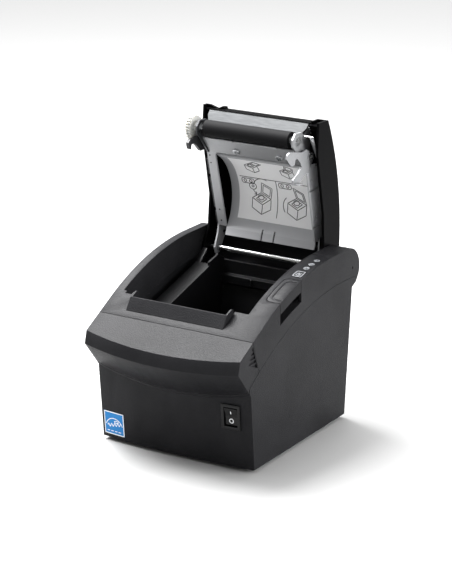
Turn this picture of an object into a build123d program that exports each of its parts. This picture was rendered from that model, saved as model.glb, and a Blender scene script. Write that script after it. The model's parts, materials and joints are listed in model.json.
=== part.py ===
from build123d import *
import os
from math import asin, atan2, cos, degrees, pi, radians, sin, sqrt, tan

# Receipt printer for 80 mm paper, drop-in loading, with the lid standing open.
# Frame: X to the right as seen from the front, front towards -Y, +Z up, millimetres.
# Origin: on the counter, under the centre of the case.

# ---- driving dimensions: the case ----
CASE_WIDTH = 145.0
HALF_WIDTH = CASE_WIDTH / 2
TOP_Z = 146.0             # flat rear part of the top
FOOT_GAP = 3.0            # height of the case above the counter
WALL = 2.4                # case wall
SEAM_GAP = 0.3            # visible gap between two mouldings

SLOPE_START_Y = -53.0     # the straight front slope meets the curved top here
TOP_CURVE_Y = 56.0        # the curved top becomes flat here
TOP_CURVE_R = 231.0
SLOPE = asin((TOP_CURVE_Y - SLOPE_START_Y) / TOP_CURVE_R)      # angle of the front slope

FRONT_FOOT = (-68.8, FOOT_GAP)     # front panel, lower edge at the corners
FRONT_HEAD = (-73.2, 66.5)         # front panel, upper edge at the corners
FRONT_BOW = 4.0                    # the panel bows forward this much at the middle
NOSE_LOW = (-91.4, 89.3)           # lower edge of the nose band at the corners
NOSE_HIGH = (-88.6, 99.2)          # upper edge of the nose band at the corners
CHIN_BOW = 8.4
BAND_BOW = 6.4

REAR_FOOT = (74.1, FOOT_GAP)
REAR_HEAD = (85.5, 111.5)
REAR_LIP = (91.8, 114.5)

SEAM_CENTRE = (69.2, -122.5)       # the side seam is an arc seen from the side
SEAM_R = 243.0
CHIN_SEAM = 2.6                    # the seam under the chin is this much wider
COVER_EDGE_TOP = (-69.6, 110.0)    # rear edge of the front cover on the side
COVER_EDGE_LOW = (-61.1, 83.1)

# ---- driving dimensions: the lid and its hinge ----
HINGE = (79.0, 127.5)
BARREL_R = TOP_Z - HINGE[1]
LID_OPEN = 92.0
LID_LEFT = -64.5
LID_RIGHT = 53.0
LID_FRONT_Y = -45.2
LID_WALL = 2.2
LID_FLANGE = 17.0
WING_INNER_LEFT = -43.6
WING_INNER_RIGHT = 42.8
SHAFT_R = 2.5
RUNNING_FIT = 0.05

# ---- driving dimensions: the opening in the top ----
OPEN_LEFT = -65.2
OPEN_RIGHT = 53.6
OPEN_FRONT_Y = -45.6
EXIT_LEFT = -51.0
EXIT_RIGHT = 41.0
EXIT_FRONT_Y = -62.6
GUARD_FRONT_Y = -63.9
GUARD_TOP = (-57.0, 122.8)
GUARD_REAR = (-47.5, 125.6)

# ---- driving dimensions: the print mechanism ----
PAPER_CENTRE_X = -5.5
PLATEN_LENGTH = 81.0
PLATEN_R = 7.0
PLATEN = (-31.4, 94.7)             # platen axis with the lid shut
GEAR_MODULE = 0.8
PLATEN_TEETH = 26
IDLER_TEETH = 20
PINION_TEETH = 12
GEAR_X = -61.5
GEAR_WIDTH = 5.0
MESH_GAP = 0.12

# ---- driving dimensions: the paper bucket ----
ROLL_CENTRE = (26.0, 70.0)
CRADLE_R = 42.0
WELL_LEFT = -46.0
WELL_RIGHT = 36.0
WELL_REAR_Y = 73.5
SHELF_RISE = 0.28
BUCKET_WALL = 2.0
PCB_Z = 9.0


def yz_prism(points, x0, x1):
    """Straight prism along X over a closed outline in the YZ plane."""
    face = make_face(Polyline(*points, close=True))
    return extrude(Plane.YZ.offset(x0) * face, amount=x1 - x0)


def box(x0, x1, y0, y1, z0, z1):
    """Box between two corners."""
    return Pos((x0 + x1) / 2, (y0 + y1) / 2, (z0 + z1) / 2) * Box(x1 - x0, y1 - y0, z1 - z0)


def rod_x(y, z, r, x0, x1):
    """Round bar along X."""
    return Pos((x0 + x1) / 2, y, z) * Rot(0, 90, 0) * Cylinder(r, x1 - x0)


def rod_y(x, z, r, y0, y1):
    """Round bar along Y."""
    return Pos(x, (y0 + y1) / 2, z) * Rot(90, 0, 0) * Cylinder(r, y1 - y0)


def rod_z(x, y, r, z0, z1):
    """Round bar along Z."""
    return Pos(x, y, (z0 + z1) / 2) * Cylinder(r, z1 - z0)


def top_z(y):
    """Height of the case top at y, along the middle of its length."""
    if y >= TOP_CURVE_Y:
        return TOP_Z
    centre_z = TOP_Z - TOP_CURVE_R
    if y >= SLOPE_START_Y:
        return centre_z + sqrt(TOP_CURVE_R**2 - (TOP_CURVE_Y - y) ** 2)
    return top_z(SLOPE_START_Y) - (SLOPE_START_Y - y) * tan(SLOPE)


def polar(r, angle, centre=HINGE):
    """Point at r and angle (degrees from +Y towards +Z) round a centre in YZ."""
    return (centre[0] + r * cos(radians(angle)), centre[1] + r * sin(radians(angle)))


def top_edges(inset, front_y, lobe_end):
    """Edges of the top outline, from the front slope to the rear lobe, moved inwards."""
    r = TOP_CURVE_R - inset
    centre = (TOP_CURVE_Y, TOP_Z - TOP_CURVE_R)
    lean = 90 + degrees(SLOPE)
    bend = polar(r, lean, centre)
    mid = polar(r, (90 + lean) / 2, centre)
    crest = polar(r, 90, centre)
    run = bend[0] - front_y
    front = (front_y, bend[1] - run * tan(SLOPE))
    lobe_r = BARREL_R - inset
    lobe_top = polar(lobe_r, 90)
    lobe_mid = polar(lobe_r, (90 + lobe_end) / 2)
    lobe_low = polar(lobe_r, lobe_end)
    edges = [
        Line(front, bend),
        ThreePointArc(bend, mid, crest),
        Line(crest, lobe_top),
        ThreePointArc(lobe_top, lobe_mid, lobe_low),
    ]
    return edges, front, lobe_low


def side_block(inset, front_y, floor_z):
    """The case seen from the side, as a solid block the width of the case."""
    edges, front, lobe_low = top_edges(inset, front_y, -25)
    lip = (REAR_LIP[0] - inset, REAR_LIP[1])
    head = (REAR_HEAD[0] - inset, REAR_HEAD[1])
    lean = (REAR_HEAD[0] - REAR_FOOT[0]) / (REAR_HEAD[1] - REAR_FOOT[1])
    foot = (REAR_FOOT[0] - inset + lean * (floor_z - FOOT_GAP), floor_z)
    edges += [Line(lobe_low, lip), Line(lip, head), Line(head, foot)]
    edges += [Line(foot, (front_y, floor_z)), Line((front_y, floor_z), front)]
    half = HALF_WIDTH - inset
    return extrude(Plane.YZ.offset(-half) * make_face(edges), amount=2 * half)


def bowed_tool(foot, head, bow, inset):
    """Everything behind a bowed front surface that leans from foot to head."""
    direction = Vector(0, head[0] - foot[0], head[1] - foot[1]).normalized()
    plane = Plane(origin=(0, foot[0], foot[1]), x_dir=(1, 0, 0), z_dir=direction)
    r = (HALF_WIDTH**2 + bow**2) / (2 * bow)
    return plane * Pos(0, r - bow, 0) * Cylinder(r - inset, 400)


def case_block(inset, floor_z):
    """Solid block with the outer shape of the whole case, moved inwards."""
    far_front = -110.0
    body = side_block(inset, far_front, floor_z)
    body &= bowed_tool(FRONT_FOOT, FRONT_HEAD, FRONT_BOW, inset)
    nose = side_block(inset, far_front, 40.0)
    nose &= bowed_tool(NOSE_LOW, NOSE_HIGH, BAND_BOW, inset)
    nose &= bowed_tool(FRONT_HEAD, NOSE_LOW, CHIN_BOW, inset)
    return body + nose


def seam_cylinder(offset):
    """Everything below the side seam."""
    return rod_x(SEAM_CENTRE[0], SEAM_CENTRE[1], SEAM_R + offset, -100, 100)


def cover_zone(offset):
    """Region of the case that belongs to the front cover."""
    low_y, low_z = COVER_EDGE_LOW
    top_y, top_z_ = COVER_EDGE_TOP
    slope = (top_y - low_y) / (top_z_ - low_z)
    z0 = 30.0
    z1 = 160.0
    upper = yz_prism(
        [
            (low_y + slope * (z0 - low_z) - offset, z0),
            (low_y + slope * (z1 - low_z) - offset, z1),
            (-150, z1),
            (-150, z0),
        ],
        -100,
        100,
    )
    upper -= seam_cylinder(offset)
    step = 1.6
    front = box(-100, 100, -150, -60, z0, 120)
    front -= bowed_tool(FRONT_FOOT, FRONT_HEAD, FRONT_BOW, -step - CHIN_SEAM * offset)
    return upper + front


def gear(teeth, width, bore, phase=0.0, module=GEAR_MODULE):
    """Spur gear about X from x = 0 to width, trapezoid teeth, with a bore."""
    pitch_r = module * teeth / 2
    root_r = pitch_r - 1.25 * module
    tip_r = pitch_r + 0.95 * module
    step = 2 * pi / teeth
    half_root = 0.31 * step
    half_tip = 0.11 * step
    points = []
    for i in range(teeth):
        a = phase + i * step
        for r, da in ((root_r, -half_root), (tip_r, -half_tip), (tip_r, half_tip), (root_r, half_root)):
            points.append((r * cos(a + da), r * sin(a + da)))
    return yz_prism(points, 0, width) - rod_x(0, 0, bore, -1, width + 1)


def pan_screw(r, head_h, shank_r, shank_l):
    """Pan-head screw along Z, head up, seat at z = 0, with a cross recess."""
    head = Pos(0, 0, head_h / 2) * Cylinder(r, head_h)
    head = fillet(head.edges().sort_by(Axis.Z)[-1], head_h * 0.45)
    slot = Box(r * 1.1, r * 0.28, head_h) + Box(r * 0.28, r * 1.1, head_h)
    head -= Pos(0, 0, head_h) * slot
    return head + Pos(0, 0, -shank_l / 2) * Cylinder(shank_r, shank_l)


# ---- housing ----

SWITCH_X = 54.3
SWITCH_Z = 46.2
SWITCH_W = 15.4
SWITCH_H = 20.0
PANEL_LEAN = degrees(asin((FRONT_FOOT[0] - FRONT_HEAD[0]) / (FRONT_HEAD[1] - FRONT_FOOT[1])))
PORT_Z = 17.5
PORTS_X = (-44.0, 46.0)


def panel_y(x, z):
    """Y of the outer face of the front panel."""
    corner = FRONT_FOOT[0] + (z - FRONT_FOOT[1]) * (FRONT_HEAD[0] - FRONT_FOOT[0]) / (
        FRONT_HEAD[1] - FRONT_FOOT[1])
    return corner - FRONT_BOW * (1 - (x / HALF_WIDTH) ** 2)


def rear_y(z):
    """Y of the outer face of the rear wall."""
    return REAR_FOOT[0] + (z - REAR_FOOT[1]) * (REAR_HEAD[0] - REAR_FOOT[0]) / (
        REAR_HEAD[1] - REAR_FOOT[1])


def on_front_panel(shape, x, z):
    """Places a shape made at the origin, facing -Y, on the front panel."""
    turn = degrees(2 * FRONT_BOW * x / HALF_WIDTH**2)
    return Pos(x, panel_y(x, z), z) * Rot(0, 0, turn) * Rot(PANEL_LEAN, 0, 0) * shape


def lid_bay(x_gap, floor_z):
    """The opening in the top that the lid fills."""
    return box(OPEN_LEFT - x_gap, OPEN_RIGHT + x_gap, OPEN_FRONT_Y, 130, floor_z, 170)


ROLL_R = BARREL_R - LID_WALL - 0.35      # fixed roll behind the lid's barrel
ROLL_WALL = 2.0
SCREW_X = 65.0
SCREW_YS = (-44.0, 40.0)


def rear_roll():
    """Curved wall between the cheeks, which the lid's barrel slides over."""
    start, end = 62, -64
    mid = (start + end) / 2
    inner = ROLL_R - ROLL_WALL
    edges = [
        ThreePointArc(polar(ROLL_R, start), polar(ROLL_R, mid), polar(ROLL_R, end)),
        Line(polar(ROLL_R, end), (85.8, 112.0)),
        Line((85.8, 112.0), (83.4, 112.0)),
        Line((83.4, 112.0), polar(inner, end)),
        ThreePointArc(polar(inner, end), polar(inner, mid), polar(inner, start)),
        Line(polar(inner, start), polar(ROLL_R, start)),
    ]
    left = LID_LEFT + LID_WALL + 0.4
    right = LID_RIGHT - LID_WALL - 0.4
    roll = extrude(Plane.YZ.offset(left) * make_face(edges), amount=right - left)
    for x0, x1 in ((FRAME_LEFT - 1.9, FRAME_LEFT + 0.4), (FRAME_RIGHT - 0.4, FRAME_RIGHT + 1.6)):
        roll -= box(x0, x1, HINGE[0], 120, HINGE[1] + 8.2, 160)
    return roll


def lower_case(shell):
    case = shell & seam_cylinder(-SEAM_GAP / 2)
    case -= cover_zone(0)
    case -= box(OPEN_LEFT, OPEN_RIGHT, 80, 120, 113.9, 130)
    case += rear_roll()
    case -= on_front_panel(Box(SWITCH_W + 0.1, 20, SWITCH_H + 0.1), SWITCH_X, SWITCH_Z)
    case -= box(PORTS_X[0] - 9, PORTS_X[1] + 9, 60, 100, PORT_Z - 9.5, PORT_Z + 10.5)
    for sx in (-1, 1):
        for y in SCREW_YS:
            web = Pos(sx * 68.4, y, 18.0) * Box(6.0, 3.0, 24.0)
            case += (rod_z(sx * SCREW_X, y, 4.2, 6.0, 30) + web) & case_block(1.0, 4.0)
            case -= rod_z(sx * SCREW_X, y, 1.2, 5, 22)
    return case


def base_plate():
    floor = box(-69.6, 69.6, -68, 71, FOOT_GAP + 0.4, FOOT_GAP + 2.6)
    floor &= case_block(WALL + 0.2, -10)
    for sx in (-1, 1):
        for y in SCREW_YS:
            floor -= rod_z(sx * SCREW_X, y, 1.6, 0, 10)
            floor -= rod_z(sx * SCREW_X, y, 3.2, 0, FOOT_GAP + 1.4)
    for sx in (-1, 1):
        for y in (-50, 50):
            floor += rod_z(sx * 52.0, y, 3.5, FOOT_GAP + 2.5, PCB_Z - 0.01)
    for i in range(-4, 5):
        floor -= box(i * 9 - 1.5, i * 9 + 1.5, -20, 20, 0, 10)
    return floor


def feet():
    pads = []
    for sx in (-1, 1):
        for y in (-58.5, 53.5):
            pad = Pos(sx * 58.0, y, 0) * Cone(5.2, 6.2, FOOT_GAP + 0.39,
                align=(Align.CENTER, Align.CENTER, Align.MIN))
            pads.append(fillet(pad.edges().sort_by(Axis.Z)[0], 0.7))
    return pads


def base_screws():
    screws = []
    for sx in (-1, 1):
        for y in SCREW_YS:
            screws.append(Pos(sx * SCREW_X, y, FOOT_GAP + 1.4) * Rot(180, 0, 0) * pan_screw(2.9, 1.2,
                1.15, 14))
    return screws


BUTTON_X0 = 58.6
BUTTON_Y = (-28.8, 2.6)
BUTTON_DROP = 9.5
STRIP_X = (55.0, 71.6)
STRIP_Y = (4.6, 50.0)
STRIP_T = 0.8


def deck_prism(depth0, depth1, y0, y1, x0, x1):
    """A slab that follows the curved top between two depths below it."""
    count = 14
    ys = [y0 + (y1 - y0) * i / count for i in range(count + 1)]
    upper = [(y, top_z(y) - depth0) for y in ys]
    lower = [(y, top_z(y) - depth1) for y in reversed(ys)]
    return yz_prism(upper + lower, x0, x1)


def button_outline(grow):
    """Outline of the cover button seen from above, rounded on its inner corners."""
    x0 = BUTTON_X0 - grow
    y0 = BUTTON_Y[0] - grow
    y1 = BUTTON_Y[1] + grow
    plate = Pos((x0 + 90) / 2, (y0 + y1) / 2) * Rectangle(90 - x0, y1 - y0)
    corners = plate.vertices().sort_by(Axis.X)[:2]
    return fillet(corners, 4.0)


def button_block(grow, depth):
    """Block under the button outline down to a depth below the top."""
    outline = extrude(button_outline(grow), amount=200)
    slab = deck_prism(-5, depth, BUTTON_Y[0] - 10, BUTTON_Y[1] + 10, 40, 90)
    return outline & slab


def top_case(shell):
    case = shell - seam_cylinder(SEAM_GAP / 2) - cover_zone(0)
    case -= lid_bay(0, 60)
    case -= box(EXIT_LEFT, EXIT_RIGHT, EXIT_FRONT_Y, 0, 60, 170)
    solid = case_block(1.2, 40) - seam_cylinder(2.0)
    left_skirt = solid & box(OPEN_LEFT - 1.8, OPEN_LEFT, OPEN_FRONT_Y, 58, 96, 150)
    left_skirt &= yz_prism([(-60, 96), (60, 112), (60, 160), (-60, 160)], -80, 80)
    cheek = solid & box(OPEN_LEFT - 1.8, OPEN_LEFT, 57, 98, 105, 150)
    right_skirt = solid & box(OPEN_RIGHT, OPEN_RIGHT + 1.8, OPEN_FRONT_Y, 98, 96, 150)
    right_skirt &= yz_prism([(-60, 96), (98, 112), (98, 160), (-60, 160)], -80, 80)
    front_skirt = solid & box(EXIT_RIGHT, OPEN_RIGHT + 1.8, OPEN_FRONT_Y - 1.8, OPEN_FRONT_Y, 108, 140)
    front_skirt += solid & box(OPEN_LEFT - 1.8, EXIT_LEFT, OPEN_FRONT_Y - 1.8, OPEN_FRONT_Y, 108, 140)
    case += left_skirt + cheek + right_skirt + front_skirt
    case -= button_block(0.45, 18)
    tray = (solid & box(OPEN_RIGHT, 72, BUTTON_Y[0] - 2, BUTTON_Y[1] + 6, 90, 150))
    tray &= deck_prism(18, 20, -60, 60, 40, 72.3)
    case += tray
    case -= deck_prism(-2, STRIP_T, STRIP_Y[0], STRIP_Y[1], STRIP_X[0], STRIP_X[1])
    fx, fy = FEED_KEY
    case -= box(fx - 4.4, fx + 4.4, fy - 4.9, fy + 4.9, 120, 150)
    case -= rod_x(HINGE[0], HINGE[1], SHAFT_R + 0.01, -68.2, 57)
    case -= rod_x(86.0, 128.0, 1.1, HALF_WIDTH - 0.8, HALF_WIDTH + 1)
    sweep = rod_x(HINGE[0], HINGE[1], GEAR_SWEEP_R, GEAR_X - 0.7, GEAR_X + GEAR_WIDTH + 0.7)
    case -= sweep & box(-100, 100, -60, OPEN_FRONT_Y + 1, 60, 131)
    return case


GEAR_SWEEP_R = 127.2      # the platen gear's teeth pass just inside this as the lid shuts
FEED_KEY = (65.4, 11.4)
LED_Y = (23.0, 31.0, 39.5)
LED_X = 65.4


def control_strip():
    strip = deck_prism(0, STRIP_T - 0.02, STRIP_Y[0] + 0.1, STRIP_Y[1] - 0.1, STRIP_X[0] + 0.1,
        STRIP_X[1] - 0.1)
    fx, fy = FEED_KEY
    strip -= box(fx - 4.3, fx + 4.3, fy - 4.8, fy + 4.8, 120, 150)
    for y in LED_Y:
        strip -= rod_z(LED_X, y, 2.6, 120, 150)
    return strip


def feed_button():
    fx, fy = FEED_KEY
    cap = deck_prism(-0.35, 2.2, fy - 4.5, fy + 4.5, fx - 4.0, fx + 4.0)
    return cap


def status_lenses():
    slab = deck_prism(0.0, STRIP_T - 0.04, STRIP_Y[0], STRIP_Y[1], STRIP_X[0], STRIP_X[1])
    return [slab & rod_z(LED_X, y, 2.55, 120, 150) for y in LED_Y]


BUTTON_PIVOT = (1.2, 135.8)


def cover_button(outer):
    """Cover release: its top follows the deck and its side follows the case."""
    block = button_block(0, BUTTON_DROP) & outer
    inner = button_block(-1.8, BUTTON_DROP + 5) & case_block(1.8, 40)
    inner &= deck_prism(1.8, 30, -60, 60, 40, 90)
    cap = block - inner + rod_x(BUTTON_PIVOT[0], BUTTON_PIVOT[1], 1.2, 62.0, 69.5)
    groove = button_block(-3.2, 0.35) - button_block(-3.9, 2)
    groove &= box(50, 71, -40, 2, 100, 160)
    return cap - groove


def front_cover(shell):
    cover = shell & cover_zone(SEAM_GAP)
    grip = yz_prism(
        [(-69.8, 106.5), (-63.3, 87.2), (-76.0, 92.4)],
        HALF_WIDTH - 1.5,
        HALF_WIDTH + 1,
    )
    cover -= grip + mirror(grip, Plane.YZ)
    for i in range(4):
        z = 91.6 + 3.5 * i
        bar = grip & box(0, HALF_WIDTH - 0.5, -90, -60, z - 0.75, z + 0.75)
        cover += bar + mirror(bar, Plane.YZ)
    return cover


def paper_guard():
    """Raised lip round the paper exit, fixed on the top in front of the slot."""
    base_z = top_z(GUARD_FRONT_Y)
    front = [
        (GUARD_FRONT_Y, base_z + 0.02),
        GUARD_TOP,
        (GUARD_TOP[0] + 1.5, GUARD_TOP[1] - 0.2),
        (GUARD_FRONT_Y + 2.6, base_z + 0.6),
        (GUARD_FRONT_Y + 2.6, base_z - 4),
        (EXIT_FRONT_Y + 0.05, base_z - 4),
        (EXIT_FRONT_Y + 0.05, top_z(EXIT_FRONT_Y) + 0.05),
    ]
    guard = yz_prism(front, EXIT_LEFT + 0.05, EXIT_RIGHT - 0.05)
    wing = [
        (GUARD_FRONT_Y, base_z + 0.02),
        GUARD_TOP,
        (GUARD_REAR[0] - 2.5, GUARD_REAR[1]),
        (GUARD_REAR[0], GUARD_REAR[1] - 0.9),
        (OPEN_FRONT_Y - 2.2, top_z(OPEN_FRONT_Y - 2.2) - 3),
        (EXIT_FRONT_Y + 0.05, base_z - 3),
        (EXIT_FRONT_Y + 0.05, top_z(EXIT_FRONT_Y) + 0.05),
    ]
    guard += yz_prism(wing, EXIT_LEFT + 0.05, EXIT_LEFT + 1.65)
    guard += yz_prism(wing, EXIT_RIGHT - 1.65, EXIT_RIGHT - 0.05)
    return guard


SIDE_FRONT_Y = -14.0
SHELF_FRONT_Y = -8.0      # behind the left latch when the lid is shut


def shelf_z(y):
    """Height of the shelf beside the well."""
    return 103.0 + SHELF_RISE * (y + 7.0)


def paper_bucket():
    """Tray with a cradle for the roll, a sloping shelf on its left and a bar on its rear wall."""
    cy, cz = ROLL_CENTRE
    outer = CRADLE_R + BUCKET_WALL
    top = 118.0
    block = rod_x(cy, cz, outer, WELL_LEFT - BUCKET_WALL, WELL_RIGHT + BUCKET_WALL)
    block += box(WELL_LEFT - BUCKET_WALL, WELL_RIGHT + BUCKET_WALL, cy - outer,
        WELL_REAR_Y + BUCKET_WALL, cz, top + 3)
    cavity = rod_x(cy, cz, CRADLE_R, WELL_LEFT, WELL_RIGHT)
    cavity += yz_prism(
        [(cy - CRADLE_R, cz), (cy + CRADLE_R, cz), (WELL_REAR_Y, 98), (WELL_REAR_Y, 130),
        (cy - CRADLE_R, 130)],
        WELL_LEFT,
        WELL_RIGHT,
    )
    tray = block - cavity
    low_front = [(-40, 86), (-10, 86), (12, 99), (40, 112), (60, 119), (90, 121), (90, 160), (-40, 160)]
    tray -= yz_prism(low_front, WELL_LEFT - 10, 80)
    side = yz_prism([(SIDE_FRONT_Y, 60), (SIDE_FRONT_Y, shelf_z(SIDE_FRONT_Y)), (52, shelf_z(52)), (52, shelf_z(52) + 3.2),
        (66, 126), (75, 121), (75, 60)],
                    WELL_LEFT - BUCKET_WALL, WELL_LEFT)
    tray += side
    shelf = yz_prism([(SHELF_FRONT_Y, shelf_z(SHELF_FRONT_Y) - 2),
        (SHELF_FRONT_Y, shelf_z(SHELF_FRONT_Y)), (55, shelf_z(55)), (66, 130), (66, 127),
        (57, shelf_z(55) - 2)],
                     -61.6, WELL_LEFT - BUCKET_WALL + 0.01)
    shelf -= box(-57.0, -40, 55, 80, 119, 140)
    tray += shelf
    rail = [(SHELF_FRONT_Y, 92), (SHELF_FRONT_Y, shelf_z(SHELF_FRONT_Y)), (60, shelf_z(60)), (60, 92)]
    tray += yz_prism(rail, -61.6, -59.6)
    bar = yz_prism([(WELL_REAR_Y + 0.5, 98), (70.0, 100.5), (70.0, 107.5), (WELL_REAR_Y + 0.5, 108.5)],
        WELL_LEFT - 0.5, WELL_RIGHT + 0.5)
    tray += bar
    tray += yz_prism([(70.0, 100.5), (68.4, 101.2), (68.4, 107.0), (70.0, 107.5)], -16.5, -15.0)
    for x in (WELL_LEFT - BUCKET_WALL, WELL_RIGHT):
        for y in (2, 50):
            tray += box(x, x + BUCKET_WALL, y - 4, y + 4, PCB_Z + 6, 50) - rod_x(cy, cz, CRADLE_R + 1,
                -100, 100)
    return tray


def shaft_blocks():
    """Bearing blocks that hold the lid shaft on the inner faces of the cheeks."""
    blocks = []
    for x0, x1 in ((OPEN_LEFT - 1.8 - 3.0, OPEN_LEFT - 1.81), (OPEN_RIGHT + 1.81, OPEN_RIGHT + 4.8)):
        block = rod_x(HINGE[0], HINGE[1], 6.5, x0, x1)
        blocks.append(block - rod_x(HINGE[0], HINGE[1], SHAFT_R + 0.01, x0 - 1, x1 + 1))
    return blocks


def lid_shaft():
    return rod_x(HINGE[0], HINGE[1], SHAFT_R, OPEN_LEFT - 4.6, OPEN_RIGHT + 4.6)


# ---- print mechanism ----

CHASSIS_LEFT = -49.9
CHASSIS_RIGHT = 38.2
CHASSIS_T = 1.0
BRACKET_LEFT = -51.9
BRACKET_RIGHT = 39.6
BRACKET_T = 1.5
SWING_LEAN = 0.285        # sine of the platen path's lean as the lid comes down
SWING_RISE = 0.9585       # its cosine
SWING_T = Vector(0, -SWING_LEAN, SWING_RISE)
SWING_N = Vector(0, -SWING_RISE, -SWING_LEAN)
HEAD_GAP = PLATEN_R + 0.4
HEAD_PLANE = Plane(
    origin=(0, PLATEN[0] - SWING_RISE * HEAD_GAP, PLATEN[1] - SWING_LEAN * HEAD_GAP),
    x_dir=(1, 0, 0),
    z_dir=SWING_N,
)
LATCH_STUD = (-14.4, 87.0)


def chassis():
    """Folded sheet frame that carries the head, the motors and the latch studs."""
    outline = [(-50, 56), (-50, 99), (-45.4, 101.5), (-41.8, 88), (-38.5, 85.5), (-27, 85.5), (-24.5, 90.0),
               (-11.0, 90.5), (-10.5, 84.0), (-22, 78), (-22, 56)]
    frame = yz_prism(outline, CHASSIS_LEFT, CHASSIS_LEFT + CHASSIS_T)
    frame += yz_prism(outline, CHASSIS_RIGHT, CHASSIS_RIGHT + CHASSIS_T)
    frame += box(CHASSIS_LEFT, CHASSIS_RIGHT + CHASSIS_T, -51.2, -50, 56, 72)
    for sx0, sx1 in ((CHASSIS_LEFT - 9, CHASSIS_LEFT), (CHASSIS_RIGHT + CHASSIS_T, CHASSIS_RIGHT + 9)):
        frame += box(sx0, sx1, -51.2, -22, 56, 57.2)
    return frame


def latch_studs():
    left = rod_x(LATCH_STUD[0], LATCH_STUD[1], 1.5, -56.2, CHASSIS_LEFT)
    right = rod_x(LATCH_STUD[0], LATCH_STUD[1], 1.5, CHASSIS_RIGHT + CHASSIS_T, 46.0)
    return [left, right]


def print_head():
    """Ceramic heater on its aluminium plate, leaning against the platen."""
    width = 82.0
    plate = HEAD_PLANE * Pos(PAPER_CENTRE_X, 1.4, 3.0) * Box(width, 17.8, 4.0)
    ceramic = HEAD_PLANE * Pos(PAPER_CENTRE_X, 0, 0.5) * Box(width, 14, 1.0)
    return plate, ceramic


def cutter_at(shape):
    """Places a shape made on the blade plane: X across, Y along the stroke, Z up."""
    return Pos(0, -45.6, 109.2) * Rot(degrees(SLOPE), 0, 0) * shape


def cutter_frame():
    plate = cutter_at(box(-50, 42, -32, -3.0, -5.0, -1.2))
    plate -= cutter_at(rod_z(-44.0, -24.0, 5.6, -10, 5))
    plate -= cutter_at(box(-30, 28, -28, -8, -6, -3.4))
    for x0, x1 in ((-49.5, -46.0), (40.3, 42.0)):
        plate += cutter_at(box(x0, x1, -11, -4, -1.3, 2.2))
    return plate


def cutter_cover():
    cover = cutter_at(box(-49.5, 42, -31, -6.0, 2.25, 3.4))
    for i in range(5):
        x = -30 + i * 13
        cover -= cutter_at(box(x, x + 7, -24, -12, 1, 5))
    return cover


def cutter_blade():
    """Moving blade with a shallow V edge and a rack on its left side."""
    edge = Polyline(
        (-45, -6), (-45, -3.4), (-5.0, -5.2), (39.5, -3.4), (39.5, -6), (39.5, -30), (-37.6, -30),
        (-37.6, -10.2), (-45, -10.2),
        close=True,
    )
    blade = cutter_at(Pos(0, 0, 0.0) * extrude(make_face(edge), amount=1.0))
    pitch = pi * GEAR_MODULE
    rack_x = -44.0 + GEAR_MODULE * PINION_TEETH / 2 + MESH_GAP
    rack = box(rack_x + 1.25 * GEAR_MODULE, -37.5, -33.4, -13, 0.0, 1.0)
    for i in range(-3, 2):
        y = -24.0 + i * pitch
        tooth = Polyline(
            (rack_x + 1.3 * GEAR_MODULE, y - 0.31 * pitch),
            (rack_x - 0.9 * GEAR_MODULE, y - 0.11 * pitch),
            (rack_x - 0.9 * GEAR_MODULE, y + 0.11 * pitch),
            (rack_x + 1.3 * GEAR_MODULE, y + 0.31 * pitch),
            close=True,
        )
        rack += extrude(make_face(tooth), amount=1.0)
    return blade + cutter_at(rack)


def cutter_pinion():
    wheel = gear(PINION_TEETH, 2.2, 1.0, phase=pi / PINION_TEETH)
    wheel = Pos(-44.0, -24.0, -0.6) * Rot(0, -90, 0) * wheel
    return cutter_at(wheel + rod_z(-44.0, -24.0, 1.0, -7.9, 1.5))


def cutter_motor():
    body = rod_z(-44.0, -24.0, 8.0, -21, -5.2) & box(-60, -30, -30.4, -17.6, -40, 0)
    body += rod_z(-44.0, -24.0, 3.0, -5.3, -3.2)
    return cutter_at(body - rod_z(-44.0, -24.0, 1.05, -8, 2))


def gear_points():
    """Axes of the idler and the motor pinion that drive the platen gear."""
    reach = GEAR_MODULE * (PLATEN_TEETH + IDLER_TEETH) / 2 + MESH_GAP
    idler = (PLATEN[0] - SWING_T.Y * reach, PLATEN[1] - SWING_T.Z * reach)
    reach2 = GEAR_MODULE * (IDLER_TEETH + PINION_TEETH) / 2 + MESH_GAP
    angle = radians(205)
    pinion = (idler[0] + reach2 * cos(angle), idler[1] + reach2 * sin(angle))
    return idler, pinion, angle


def drive_train():
    """Idler, motor pinion and motor on the left side of the chassis."""
    idler_c, pinion_c, angle = gear_points()
    phase_angle = pi / 2 + asin(SWING_LEAN)
    step = 2 * pi / IDLER_TEETH
    phase = phase_angle + step / 2
    idler = Pos(GEAR_X, idler_c[0], idler_c[1]) * gear(IDLER_TEETH, GEAR_WIDTH, 2.05, phase)
    turn = (angle - phase) / step
    offset = turn - round(turn)
    pinion_step = 2 * pi / PINION_TEETH
    pinion_phase = angle + pi + pinion_step / 2 + offset * pinion_step
    pinion = Pos(GEAR_X, pinion_c[0], pinion_c[1]) * gear(PINION_TEETH, GEAR_WIDTH, 1.25, pinion_phase)
    pinion += rod_x(pinion_c[0], pinion_c[1], 1.25, GEAR_X, -38.5)
    motor = rod_x(pinion_c[0], pinion_c[1], 12.0, CHASSIS_LEFT + CHASSIS_T + 0.02, -33.0)
    motor -= rod_x(pinion_c[0], pinion_c[1], 1.3, -60, -38)
    return idler, pinion, motor


# ---- electronics ----

def main_board():
    board = box(-62, 62, -60, 66, PCB_Z, PCB_Z + 1.6)
    for sx in (-1, 1):
        for y in SCREW_YS:
            board -= box(sx * 66 - 8, sx * 66 + 8, y - 5.5, y + 5.5, 0, 20)
    return board


def board_chips():
    z = PCB_Z + 1.6
    chips = [box(-20, -2, -40, -22, z, z + 1.8), box(10, 24, -44, -30, z, z + 1.6)]
    for i in range(4):
        chips.append(box(34 + i * 6, 37 + i * 6, -46, -38, z, z + 2.2))
    for i in range(3):
        chips.append(rod_z(-48, -40 + i * 12, 4.5, z, z + 10.5))
    return chips


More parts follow.
